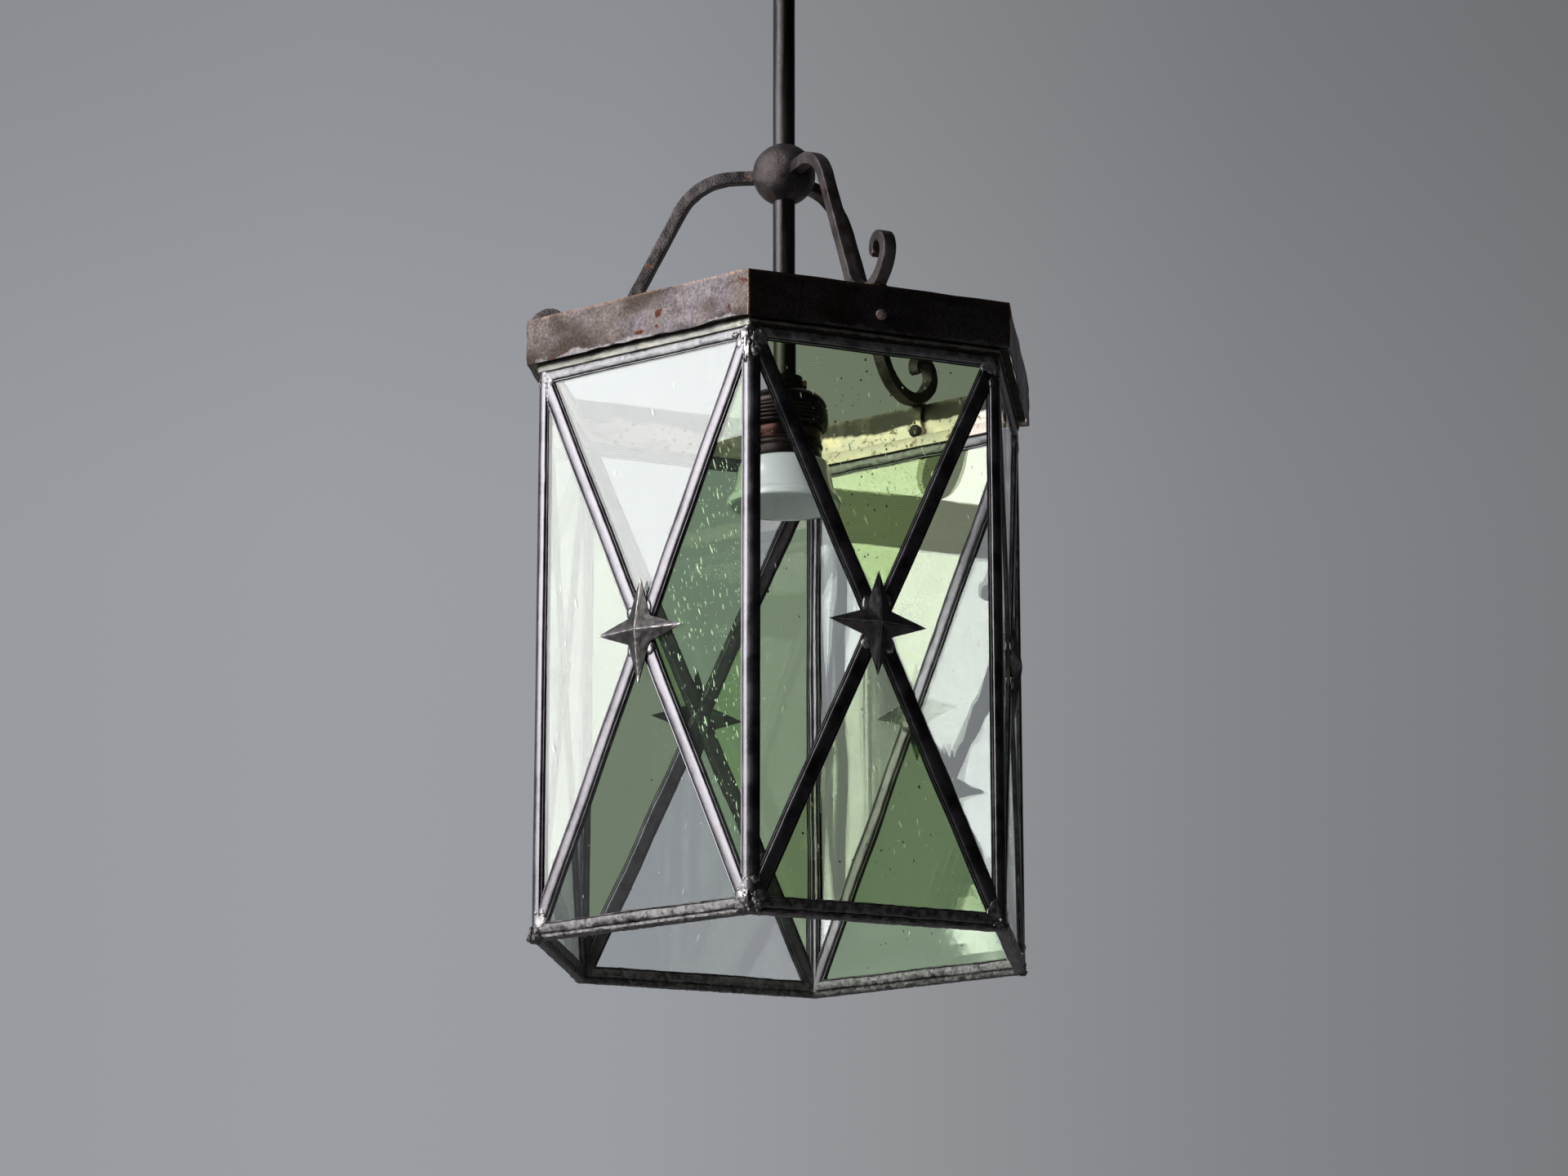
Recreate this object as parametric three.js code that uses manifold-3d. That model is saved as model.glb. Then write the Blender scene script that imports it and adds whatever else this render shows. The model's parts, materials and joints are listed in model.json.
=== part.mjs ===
// Hanging lantern: a six-sided leaded-glass body under a riveted metal band, carried by three scrolled
// arms from a ball on a tube, with a porcelain lampholder inside and a ceiling cup over the hook.
// Millimetres, +Z up. The origin is the middle of the ceiling plate's upper face, and all of it hangs below.
import * as THREE from 'three';
import { mergeVertices } from 'three/addons/utils/BufferGeometryUtils.js';
import Module from 'manifold-3d';

const wasm = await Module();
wasm.setup();

// Clearances and fineness of round work
const GAP = 0.3;
const ROUND_FINE = 28;
const ROUND = 24;
const ROUND_SMALL = 16;
const ROUND_TINY = 12;
const WIRE_SIDES = 8;
const OVERRUN = 1;
const FACE_COUNT = 6;
const FACE_STEP = (2 * Math.PI) / FACE_COUNT;
const HALF_STEP = FACE_STEP / 2;

// Ceiling plate, hook and link
const PLATE_R = 32;
const PLATE_T = 5;
const PLATE_SCREW_R = 2.3;
const PLATE_SCREW_SPACING = 44;
const HOOK_WIRE = 4.5;
const HOOK_BEND_R = 8;
const HOOK_DROP = 28;
const HOOK_SEAT_DEPTH = 3;
const HOOK_SHOULDER_OUT = 0.35;
const HOOK_OPEN_ANGLE = THREE.MathUtils.degToRad(165);
const HOOK_TIP_ANGLE = THREE.MathUtils.degToRad(362);
const HOOK_STEPS = 20;
const LINK_WIRE = 4;
const LINK_BORE_W = 9;
const LINK_BORE_L = 20;

// Hanging tube with its eye, and the ball that carries the arms
const STEM_R = 5.9;
const STEM_WALL = 1.6;
const STEM_ABOVE_BALL = 137.2;
const EYE_WIRE = 4;
const EYE_BORE_R = 5;
const EYE_COLLAR_PROUD = 2.1;
const EYE_COLLAR_H = 4;
const EYE_SHANK_L = 16;
const BALL_R = 16.7;
const BALL_STEPS = 14;
const BALL_SOCKET_WALL = 4.8;

// Ceiling cup that slides on the tube
const CANOPY_R = 45;
const CANOPY_WALL = 1.5;
const CANOPY_CEILING_GAP = 6;
const CANOPY_UNDER_EYE = 5.05;
const CANOPY_COLLAR_WALL = 3.4;
const CANOPY_COLLAR_H = 13;
const CANOPY_SCREW_R = 1.8;
const CANOPY_KNOB_R = 4;
const CANOPY_KNOB_L = 5;
const CANOPY_STEPS = 8;

// Metal band round the top of the body
const BAND_OVER_BODY = 6.8;
const BAND_H = 23.8;
const BAND_WALL = 1.6;
const BAND_BELOW_BALL = 98.1;

// Ledge and bead that join the band to the leaded panels
const LEDGE_T = 1.5;
const LEDGE_ABOVE_BAND_FOOT = 3.3;
const BEAD_H = 4.9;
const BEAD_PROUD = 0.6;
const BOTTOM_RIM_H = 3;

// Leaded panels, measured over their outer faces
const BODY_R = 135.5;
const PANEL_H = 289.2;
const CAME_DEPTH = 5.5;
const EDGE_CAME_W = 6;
const CROSS_CAME_W = 8.5;
const CAME_LAP = 1.8;
const GLASS_T = 3;

// Faceted star over each crossing
const STAR_POINTS = 4;
const STAR_R = 26.5;
const STAR_WAIST_R = 9.4;
const STAR_EDGE_T = 0.9;
const STAR_H = 5;

// Scrolled arms, forged from square bar: a straight root, a shoulder, a slope, a foot and a scroll
const ARM_W = 7;
const ARM_T = 6.4;
const ARM_TIP_T = 4.6;
const ARM_BELOW_CENTRE = 1.2;
const ARM_ROOT_L = 15.5;
const ARM_SHOULDER_R = 32;
const ARM_FOOT_R = 26;
const ARM_RISE_R = 23;
const ARM_RISE_TURN = THREE.MathUtils.degToRad(58);
const SCROLL_R = 8.5;
const SCROLL_TURN = THREE.MathUtils.degToRad(132);
const CURL_R = 5;
const CURL_TURN = THREE.MathUtils.degToRad(120);
const ARM_FOOT_SINK = 1.6;
const ARM_FOOT_INSET = 10.3;
const ARM_BEND_STEP = THREE.MathUtils.degToRad(15);
const ARM_COUNT = 3;

// Tang under each arm's foot and the rivet through it
const TANG_T = 2.4;
const TANG_NECK_W = 5.4;
const TANG_END_R = 4.4;
const TANG_END_STEPS = 10;
const TANG_ABOVE_LEDGE = 0.7;
const RIVET_R = 2;
const RIVET_HEAD_R = 2.9;
const RIVET_HEAD_H = 1.6;
const RIVET_HEAD_SHOULDER = { across: 0.8, up: 0.6 };
const RIVET_TAIL_R = 3.6;
const RIVET_TAIL_H = 3;

// Lampholder, sized outwards from the lamp's screw thread
const THREAD_R = 13.9;
const THREAD_WALL = 0.5;
const THREAD_PITCH = 3.6;
const THREAD_TURNS = 5;
const THREAD_DEPTH = 0.5;
const INSERT_WALL = 2.2;
const INSERT_BASE_T = 6;
const CONTACT_R = 3;
const CONTACT_HEAD_R = 4.2;
const CONTACT_HEAD_T = 1.4;
const CONTACT_TRAVEL = 2.4;
const SHELL_WALL = 2.5;
const SHELL_TONGUE_H = 3.3;
const SHELL_BAND_H = 8;
const SHELL_RING_H = 3;
const SHELL_RING_PROUD = 0.6;
const SHELL_RING_BEVEL = 0.8;
const SHELL_LOWER_H = 6;
const SHELL_NECK_H = 8.5;
const SHELL_NECK_INSET = 1;
const COLLAR_WALL = 3.1;
const COLLAR_H = 8.5;
const COLLAR_BELOW_BALL = 112;
const CAP_OVER_SHELL = 3.6;
const CAP_DOME_H = 9.5;
const CAP_DOME_FOOT = 1;
const CAP_DOME_SHOULDER = 0.6;
const CAP_DOME_TURN = THREE.MathUtils.degToRad(74);
const CAP_DOME_STEPS = 3;
const CAP_RIB_COUNT = 5;
const CAP_RIB_PITCH = 2.1;
const CAP_RIB_DEPTH = 0.7;
const CAP_RIB_BULGE = 0.12;
const CAP_RIB_FLAT = [0.3, 0.7];
const CAP_WALL = 2.4;
const SHADE_RING_H = 23.6;
const SHADE_RING_WALL = 2;
const SHADE_RING_LIP = 0.3;
const SHADE_RING_SHOULDER_PROUD = 3.2;
const SHADE_RING_MOUTH_PROUD = 10;
const HOLDER_SCREW_R = 1.5;
const HOLDER_SCREW_HEAD_R = 2.4;
const HOLDER_SCREW_HEAD_L = 2;

// Heights, worked down from the ceiling
const linkTop = -HOOK_DROP + HOOK_WIRE / 2 + GAP;
const linkFoot = linkTop - LINK_BORE_L;
const eyeCentre = linkFoot + GAP - EYE_BORE_R;
const eyeCollarTop = eyeCentre - EYE_BORE_R - EYE_WIRE / 2;
const stemTop = eyeCollarTop - EYE_COLLAR_H - GAP;
const ballZ = stemTop - STEM_ABOVE_BALL;
const canopyRim = -CANOPY_CEILING_GAP;
const canopyFloor = stemTop - CANOPY_UNDER_EYE - CANOPY_WALL;
const canopyDomeH = canopyRim - canopyFloor;
const canopyFoot = canopyFloor - CANOPY_COLLAR_H;
const bandTop = ballZ - BAND_BELOW_BALL;
const bandFoot = bandTop - BAND_H;
const ledgeTop = bandFoot + LEDGE_ABOVE_BAND_FOOT;
const beadTop = ledgeTop - LEDGE_T;
const beadFoot = beadTop - BEAD_H;
const panelTop = beadFoot - GAP;
const panelFoot = panelTop - PANEL_H;
const panelMiddle = (panelTop + panelFoot) / 2;
const bottomRimTop = panelFoot - GAP;
const collarTop = ballZ - COLLAR_BELOW_BALL;
const capTop = collarTop - COLLAR_H;
const capRibTop = capTop - CAP_DOME_H;
const capFoot = capRibTop - CAP_RIB_COUNT * CAP_RIB_PITCH;
const stemFoot = capTop - CAP_WALL;
const shellTop = capFoot - GAP;
const shellRingTop = shellTop - SHELL_BAND_H;
const shellLowerTop = shellRingTop - SHELL_RING_H;
const shadeRingTop = shellLowerTop - SHELL_LOWER_H - GAP;
const shellFoot = shadeRingTop - SHELL_NECK_H;
const insertFoot = shellFoot + 2 * GAP;
const threadFoot = insertFoot + GAP;
const threadTop = threadFoot + THREAD_TURNS * THREAD_PITCH;
const insertBase = threadTop + GAP;

// Radii that follow from their neighbours
const stemBoreR = STEM_R - STEM_WALL;
const stemSlipR = STEM_R + GAP;
const apothem = Math.cos(HALF_STEP);
const bodyFace = BODY_R * apothem;
const bandR = BODY_R + BAND_OVER_BODY;
const bandInnerFace = bandR * apothem - BAND_WALL;
const canopyCollarR = stemSlipR + CANOPY_COLLAR_WALL;
const collarR = stemSlipR + COLLAR_WALL;
const socketR = THREAD_R + GAP;
const insertR = socketR + INSERT_WALL;
const shellBoreR = insertR + GAP;
const shellR = shellBoreR + SHELL_WALL;
const shellNeckR = shellR - SHELL_NECK_INSET;
const capR = shellR + CAP_OVER_SHELL;
const armRootR = stemSlipR + BALL_SOCKET_WALL + GAP;
const rivetZ = ledgeTop + TANG_ABOVE_LEDGE + TANG_END_R;

const finish = (color, roughness, metalness) =>
  new THREE.MeshStandardMaterial({ color, roughness, metalness });
const glassFinish = (color) => new THREE.MeshStandardMaterial({
  color, roughness: 0.08, metalness: 0, transparent: true, opacity: 0.35,
});
const forgedIron = finish(0x2e2a28, 0.55, 0.8);
const agedBand = finish(0x5c514b, 0.6, 0.7);
const lead = finish(0x3a3a3c, 0.45, 0.8);
const palePlating = finish(0xb9b29b, 0.5, 0.6);
const pewter = finish(0x54555a, 0.35, 0.85);
const copper = finish(0x6e4030, 0.4, 0.9);
const darkBrass = finish(0x3b2c20, 0.45, 0.85);
const brightBrass = finish(0xa88a4c, 0.35, 0.9);
const porcelain = finish(0xd4dde0, 0.15, 0);
const steel = finish(0x6a6a6c, 0.4, 0.9);
const clearGlass = glassFinish(0xe9efec);
const paleGlass = glassFinish(0xd3dfcc);
const greenGlass = glassFinish(0xaac49c);
const oliveGlass = glassFinish(0xa3b57c);

const lantern = new THREE.Group();

function place(name, geometry, material, parent = lantern) {
  const mesh = new THREE.Mesh(geometry, material);
  mesh.name = name;
  parent.add(mesh);
  return mesh;
}

function faceGroup(index) {
  const group = new THREE.Group();
  group.rotation.z = index * FACE_STEP;
  lantern.add(group);
  return group;
}

// Cutting and joining of closed meshes
function solidOf(geometry) {
  const bare = geometry.clone();
  bare.deleteAttribute('normal');
  bare.deleteAttribute('uv');
  const merged = mergeVertices(bare, 1e-4);
  const corners = merged.index.array;
  const kept = [];
  for (let i = 0; i < corners.length; i += 3) {
    const [a, b, c] = [corners[i], corners[i + 1], corners[i + 2]];
    if (a !== b && b !== c && c !== a) kept.push(a, b, c);
  }
  return new wasm.Manifold(new wasm.Mesh({
    numProp: 3,
    vertProperties: new Float32Array(merged.attributes.position.array),
    triVerts: new Uint32Array(kept),
  }));
}

function geometryOf(solid) {
  const mesh = solid.getMesh();
  const geometry = new THREE.BufferGeometry();
  geometry.setAttribute('position', new THREE.BufferAttribute(new Float32Array(mesh.vertProperties), 3));
  geometry.setIndex(new THREE.BufferAttribute(new Uint32Array(mesh.triVerts), 1));
  geometry.computeVertexNormals();
  return geometry;
}

function joined(first, ...others) {
  return geometryOf(others.reduce((sum, other) => sum.add(solidOf(other)), solidOf(first)));
}

function cutBy(first, ...tools) {
  return geometryOf(tools.reduce((rest, tool) => rest.subtract(solidOf(tool)), solidOf(first)));
}

// A closed outline of [radius, height] points turned round Z
function turned(profile, segments = ROUND) {
  const area = profile.reduce((sum, [r, z], i) => {
    const [nextR, nextZ] = profile[(i + 1) % profile.length];
    return sum + r * nextZ - nextR * z;
  }, 0);
  const ordered = area < 0 ? [...profile].reverse() : [...profile];
  ordered.push(ordered[0]);
  const points = ordered.map(([r, z]) => new THREE.Vector2(r, z));
  return new THREE.LatheGeometry(points, segments).rotateX(Math.PI / 2);
}

// A round bar along Z, from one height to another
function rod(radius, low, high, segments = ROUND) {
  const bar = new THREE.CylinderGeometry(radius, radius, high - low, segments).rotateX(Math.PI / 2);
  return bar.translate(0, 0, (low + high) / 2);
}

// An upright prism over an outline of [x, y] points
function upright(outline, low, high) {
  const shape = new THREE.Shape(outline.map(([x, y]) => new THREE.Vector2(x, y)));
  return new THREE.ExtrudeGeometry(shape, { depth: high - low, bevelEnabled: false }).translate(0, 0, low);
}

// A plate facing -Y over an outline of [x, z] points, its back at a distance from the axis
function facing(outline, back, thickness) {
  const shape = new THREE.Shape(outline.map(([x, z]) => new THREE.Vector2(x, z)));
  const plate = new THREE.ExtrudeGeometry(shape, { depth: thickness, bevelEnabled: false });
  return plate.rotateX(Math.PI / 2).translate(0, -back, 0);
}

const hexagon = (cornerR) => Array.from({ length: FACE_COUNT }, (_, i) =>
  [cornerR * Math.cos(i * FACE_STEP), cornerR * Math.sin(i * FACE_STEP)]);

function hexRing(outerFace, innerFace, low, high) {
  const hole = upright(hexagon(innerFace / apothem), low - OVERRUN, high + OVERRUN);
  return cutBy(upright(hexagon(outerFace / apothem), low, high), hole);
}

// A closed loop of wire: a round section swept along points that lie in one plane
function wireLoop(points, planeNormal, wireR) {
  const count = points.length;
  const positions = [];
  const corners = [];
  points.forEach((point, i) => {
    const along = points[(i + 1) % count].clone().sub(points[(i - 1 + count) % count]).normalize();
    const across = along.clone().cross(planeNormal);
    for (let j = 0; j < WIRE_SIDES; j += 1) {
      const turn = (2 * Math.PI * (j + 0.5)) / WIRE_SIDES;
      const corner = point.clone().addScaledVector(across, wireR * Math.cos(turn));
      corner.addScaledVector(planeNormal, wireR * Math.sin(turn));
      positions.push(...corner.toArray());
      const [a, b] = [i * WIRE_SIDES + j, i * WIRE_SIDES + ((j + 1) % WIRE_SIDES)];
      const [c, d] = [a, b].map((k) => (k + WIRE_SIDES) % (count * WIRE_SIDES));
      corners.push(a, c, b, b, c, d);
    }
  });
  const geometry = new THREE.BufferGeometry();
  geometry.setAttribute('position', new THREE.Float32BufferAttribute(positions, 3));
  geometry.setIndex(corners);
  geometry.computeVertexNormals();
  return geometry;
}

// Ceiling fittings: a plate for two wood screws, with the hook seated in it
function ceilingPlate() {
  const screwHole = (side) => rod(PLATE_SCREW_R, -PLATE_T - OVERRUN, OVERRUN, ROUND_TINY)
    .translate(0, (side * PLATE_SCREW_SPACING) / 2, 0);
  const seatTop = -PLATE_T + HOOK_SEAT_DEPTH + GAP;
  const seat = rod(HOOK_WIRE / 2 + GAP, -PLATE_T - OVERRUN, seatTop, ROUND_SMALL);
  return cutBy(rod(PLATE_R, -PLATE_T, 0, ROUND_FINE), screwHole(1), screwHole(-1), seat);
}

function ceilingHook() {
  const bendZ = -HOOK_DROP + HOOK_BEND_R;
  const shoulderZ = (bendZ + HOOK_BEND_R - PLATE_T) / 2;
  const points = [[0, -PLATE_T + HOOK_SEAT_DEPTH], [0, -PLATE_T - OVERRUN],
    [-HOOK_BEND_R * HOOK_SHOULDER_OUT, shoulderZ]];
  for (let turn = HOOK_OPEN_ANGLE; turn < HOOK_TIP_ANGLE; turn += HALF_STEP) {
    points.push([HOOK_BEND_R * Math.cos(turn), bendZ + HOOK_BEND_R * Math.sin(turn)]);
  }
  const path = new THREE.CatmullRomCurve3(points.map(([x, z]) => new THREE.Vector3(x, 0, z)));
  const section = new THREE.Shape();
  section.absarc(0, 0, HOOK_WIRE / 2, 0, 2 * Math.PI);
  return new THREE.ExtrudeGeometry(section, {
    steps: HOOK_STEPS, curveSegments: WIRE_SIDES, extrudePath: path,
  });
}

function hangingLink() {
  const bendR = (LINK_BORE_W + LINK_WIRE) / 2;
  const halfStraight = (LINK_BORE_L - LINK_BORE_W) / 2;
  const middle = (linkTop + linkFoot) / 2;
  const points = [];
  for (const side of [1, -1]) {
    for (let i = 0; i <= FACE_COUNT; i += 1) {
      const turn = (side > 0 ? 0 : Math.PI) + i * HALF_STEP;
      points.push(new THREE.Vector3(0, bendR * Math.cos(turn),
        middle + side * halfStraight + bendR * Math.sin(turn)));
    }
  }
  return wireLoop(points, new THREE.Vector3(1, 0, 0), LINK_WIRE / 2);
}

// Hanging tube: its eye, the tube itself and the ball with a socket for each arm
function stemEye() {
  const points = Array.from({ length: ROUND }, (_, i) => new THREE.Vector3(
    (EYE_BORE_R + EYE_WIRE / 2) * Math.cos((-2 * Math.PI * i) / ROUND), 0,
    eyeCentre + (EYE_BORE_R + EYE_WIRE / 2) * Math.sin((-2 * Math.PI * i) / ROUND)));
  const ring = wireLoop(points, new THREE.Vector3(0, 1, 0), EYE_WIRE / 2);
  const collarFoot = eyeCollarTop - EYE_COLLAR_H;
  const collar = rod(STEM_R + EYE_COLLAR_PROUD, collarFoot, eyeCollarTop);
  const shank = rod(stemBoreR - GAP, collarFoot - EYE_SHANK_L, eyeCollarTop - OVERRUN, ROUND_SMALL);
  return joined(collar, ring, shank);
}

function stemTube() {
  return turned([[stemBoreR, stemTop], [STEM_R, stemTop], [STEM_R, stemFoot], [stemBoreR, stemFoot]]);
}

function armSocket(index) {
  const [w, t] = [ARM_W / 2 + GAP, ARM_T / 2 + GAP];
  const middle = ballZ - ARM_BELOW_CENTRE;
  const outline = [[-w, middle - t], [w, middle - t], [w, middle + t], [-w, middle + t]];
  return facing(outline, armRootR - GAP, BALL_R).rotateZ(armFace(index) * FACE_STEP);
}

function ball() {
  const reach = Math.acos(stemSlipR / BALL_R);
  const profile = Array.from({ length: BALL_STEPS + 1 }, (_, i) => {
    const turn = -reach + (2 * reach * i) / BALL_STEPS;
    return [BALL_R * Math.cos(turn), ballZ + BALL_R * Math.sin(turn)];
  });
  const sockets = Array.from({ length: ARM_COUNT }, (_, i) => armSocket(i));
  return cutBy(turned(profile), ...sockets);
}

// Ceiling cup: an elliptical bowl over a collar, with a thumb screw in the collar
function canopy() {
  const bowl = (cornerR, footR, height) => Array.from({ length: CANOPY_STEPS }, (_, i) => {
    const turn = (Math.PI / 2) * (i / CANOPY_STEPS);
    return [footR + (cornerR - footR) * Math.cos(turn), canopyRim - height * Math.sin(turn)];
  });
  const outer = bowl(CANOPY_R, canopyCollarR, canopyDomeH);
  const inner = bowl(CANOPY_R - CANOPY_WALL, stemSlipR, canopyDomeH - CANOPY_WALL);
  const profile = [...outer, [canopyCollarR, canopyFloor], [canopyCollarR, canopyFoot],
    [stemSlipR, canopyFoot], [stemSlipR, canopyFloor + CANOPY_WALL], ...inner.reverse()];
  const screwHole = rod(CANOPY_SCREW_R + GAP, 0, canopyCollarR + OVERRUN, ROUND_TINY).rotateX(Math.PI / 2);
  return cutBy(turned(profile, ROUND_FINE), screwHole.translate(0, 0, canopyScrewZ()));
}

function canopyScrewZ() {
  return canopyFoot + CANOPY_COLLAR_H / 2;
}

function canopyScrew() {
  const knobStart = canopyCollarR + GAP;
  const shank = rod(CANOPY_SCREW_R, stemSlipR, knobStart + OVERRUN, ROUND_TINY);
  const knob = rod(CANOPY_KNOB_R, knobStart, knobStart + CANOPY_KNOB_L, ROUND_SMALL);
  return joined(knob, shank).rotateX(Math.PI / 2).translate(0, 0, canopyScrewZ());
}

// Band, ledge with bead, and bottom rim
function armFace(index) {
  return index * (FACE_COUNT / ARM_COUNT);
}

function topBand() {
  const ring = hexRing(bandR * apothem, bandInnerFace, bandFoot, bandTop);
  const holes = Array.from({ length: ARM_COUNT }, (_, i) =>
    rod(RIVET_R + GAP, bandInnerFace - OVERRUN, bandR, ROUND_TINY).rotateX(Math.PI / 2)
      .translate(0, 0, rivetZ).rotateZ(armFace(i) * FACE_STEP));
  return cutBy(ring, ...holes);
}

function topRim() {
  const inner = bodyFace - CAME_DEPTH;
  const ledge = hexRing(bandInnerFace - GAP, inner, beadTop, ledgeTop);
  const bead = hexRing(bodyFace + BEAD_PROUD, inner, beadFoot, beadTop + LEDGE_T / 2);
  return joined(ledge, bead);
}

function bottomRim() {
  return hexRing(bodyFace, bodyFace - CAME_DEPTH, bottomRimTop - BOTTOM_RIM_H, bottomRimTop);
}

// Leaded panel: a frame with two crossing bars and four three-cornered lights, all grooved for the glass.
// A light lies on one side of each crossing bar and inside one edge of the frame.
const lightHalfW = BODY_R / 2 - EDGE_CAME_W;
const lightHalfH = PANEL_H / 2 - EDGE_CAME_W;
const crossHalfW = BODY_R / 2 - EDGE_CAME_W / 2;
const crossHalfH = PANEL_H / 2 - EDGE_CAME_W / 2;
const crossL = Math.hypot(crossHalfW, crossHalfH);
const lights = {
  top: { sides: [1, 1], edge: [0, 1, lightHalfH] },
  right: { sides: [-1, 1], edge: [1, 0, lightHalfW] },
  bottom: { sides: [-1, -1], edge: [0, -1, lightHalfH] },
  left: { sides: [1, -1], edge: [-1, 0, lightHalfW] },
};

// Where two lines a.x + b.z = c meet
function meet([a, b, c], [d, e, f]) {
  const det = a * e - b * d;
  return [(c * e - b * f) / det, (a * f - c * d) / det];
}

function lightOutline({ sides, edge }, grow) {
  const bar = grow - CROSS_CAME_W / 2;
  const rising = [(sides[0] * crossHalfH) / crossL, (-sides[0] * crossHalfW) / crossL, bar];
  const falling = [(-sides[1] * crossHalfH) / crossL, (-sides[1] * crossHalfW) / crossL, bar];
  const border = [edge[0], edge[1], edge[2] + grow];
  const corners = [meet(rising, falling), meet(falling, border), meet(border, rising)];
  return THREE.ShapeUtils.area(corners.map(([x, y]) => ({ x, y }))) < 0 ? corners.reverse() : corners;
}

function panelFrame() {
  const halfWidth = (face) => face * Math.tan(HALF_STEP) - GAP / 2 / apothem;
  const [outer, inner] = [bodyFace, bodyFace - CAME_DEPTH];
  const plan = [[-halfWidth(outer), -outer], [halfWidth(outer), -outer],
    [halfWidth(inner), -inner], [-halfWidth(inner), -inner]];
  const grooveT = GLASS_T + 2 * GAP;
  const tools = Object.values(lights).flatMap((light) => [
    facing(lightOutline(light, 0), inner - OVERRUN, CAME_DEPTH + 2 * OVERRUN),
    facing(lightOutline(light, CAME_LAP), inner + (CAME_DEPTH - grooveT) / 2, grooveT),
  ]);
  return cutBy(upright(plan, -PANEL_H / 2, PANEL_H / 2), ...tools).translate(0, 0, panelMiddle);
}

function pane(light) {
  const back = bodyFace - (CAME_DEPTH + GLASS_T) / 2;
  return facing(lightOutline(light, CAME_LAP - GAP), back, GLASS_T).translate(0, 0, panelMiddle);
}

// Four-pointed star with a ridge along each point, flat behind
function star() {
  const back = bodyFace + GAP;
  const count = 2 * STAR_POINTS;
  const rim = Array.from({ length: count }, (_, i) => {
    const reach = i % 2 ? STAR_WAIST_R : STAR_R;
    const turn = (i * Math.PI) / STAR_POINTS;
    return [reach * Math.sin(turn), reach * Math.cos(turn)];
  });
  const positions = [[0, -back - STAR_H, 0], [0, -back, 0]];
  rim.forEach(([x, z]) => positions.push([x, -back - STAR_EDGE_T, z], [x, -back, z]));
  const corners = rim.flatMap((_, i) => {
    const [a, b] = [2 + 2 * i, 2 + 2 * ((i + 1) % count)];
    return [0, b, a, 1, a + 1, b + 1, a, b, a + 1, b, b + 1, a + 1];
  });
  const geometry = new THREE.BufferGeometry();
  geometry.setAttribute('position', new THREE.Float32BufferAttribute(positions.flat(), 3));
  geometry.setIndex(corners);
  return geometry.translate(0, 0, panelMiddle);
}

// The arm's centre line in its own plane, as distances from the stem's axis and heights, with its headings.
// The slope is the straight line that touches both the shoulder's bend and the foot's.
function armLine() {
  const line = [];
  const now = { r: armRootR, z: ballZ - ARM_BELOW_CENTRE, heading: 0, t: ARM_T };
  const mark = () => line.push({ ...now });
  const run = (length) => {
    now.r += length * Math.cos(now.heading);
    now.z += length * Math.sin(now.heading);
    mark();
  };
  const bend = (radius, turn, endT = now.t) => {
    const steps = Math.ceil(Math.abs(turn) / ARM_BEND_STEP);
    const side = Math.sign(turn);
    const startT = now.t;
    for (let i = 1; i <= steps; i += 1) {
      const next = now.heading + turn / steps;
      now.r += side * radius * (Math.sin(next) - Math.sin(now.heading));
      now.z -= side * radius * (Math.cos(next) - Math.cos(now.heading));
      now.heading = next;
      now.t = startT + ((endT - startT) * i) / steps;
      mark();
    }
  };
  const bends = ARM_SHOULDER_R + ARM_FOOT_R;
  const out = bandInnerFace - ARM_FOOT_INSET - armRootR - ARM_ROOT_L;
  const down = now.z - bandTop - ARM_T / 2 + ARM_FOOT_SINK - bends;
  const slope = Math.atan2(down, out) + Math.asin(bends / Math.hypot(out, down));
  mark();
  run(ARM_ROOT_L);
  bend(ARM_SHOULDER_R, -slope);
  run(Math.sqrt(out ** 2 + down ** 2 - bends ** 2));
  bend(ARM_FOOT_R, slope);
  bend(ARM_RISE_R, ARM_RISE_TURN);
  bend(SCROLL_R, SCROLL_TURN, (ARM_T + ARM_TIP_T) / 2);
  bend(CURL_R, CURL_TURN, ARM_TIP_T);
  return line;
}

function armBar() {
  const line = armLine();
  const offset = (side) => line.map(({ r, z, heading, t }) => new THREE.Vector2(
    r - (side * t * Math.sin(heading)) / 2, z + (side * t * Math.cos(heading)) / 2));
  const shape = new THREE.Shape([...offset(-1), ...offset(1).reverse()]);
  const bar = new THREE.ExtrudeGeometry(shape, { depth: ARM_W, bevelEnabled: false });
  const plane = new THREE.Matrix4().makeBasis(
    new THREE.Vector3(0, -1, 0), new THREE.Vector3(0, 0, 1), new THREE.Vector3(-1, 0, 0));
  return bar.applyMatrix4(plane).translate(ARM_W / 2, 0, 0);
}

// The tang runs down the band's inner face to a round end, where the rivet holds it
function tangOutline() {
  const top = bandTop + ARM_T / 4;
  const neck = TANG_NECK_W / 2;
  const outline = [[ARM_W / 2, top], [-ARM_W / 2, top], [-neck, rivetZ + TANG_END_R]];
  for (let i = 1; i < TANG_END_STEPS; i += 1) {
    const turn = Math.PI * (0.75 + (1.5 * i) / TANG_END_STEPS);
    outline.push([TANG_END_R * Math.cos(turn), rivetZ + TANG_END_R * Math.sin(turn)]);
  }
  outline.push([neck, rivetZ + TANG_END_R]);
  return outline;
}

function arm() {
  const tang = facing(tangOutline(), bandInnerFace - GAP - TANG_T, TANG_T);
  const [holeStart, holeEnd] = [bandInnerFace - TANG_T - 2 * OVERRUN, bandInnerFace + OVERRUN];
  const hole = rod(RIVET_R + GAP, holeStart, holeEnd, ROUND_TINY).rotateX(Math.PI / 2);
  const foot = joined(armBar(), tang);
  return cutBy(foot, hole.translate(0, 0, rivetZ));
}

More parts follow.
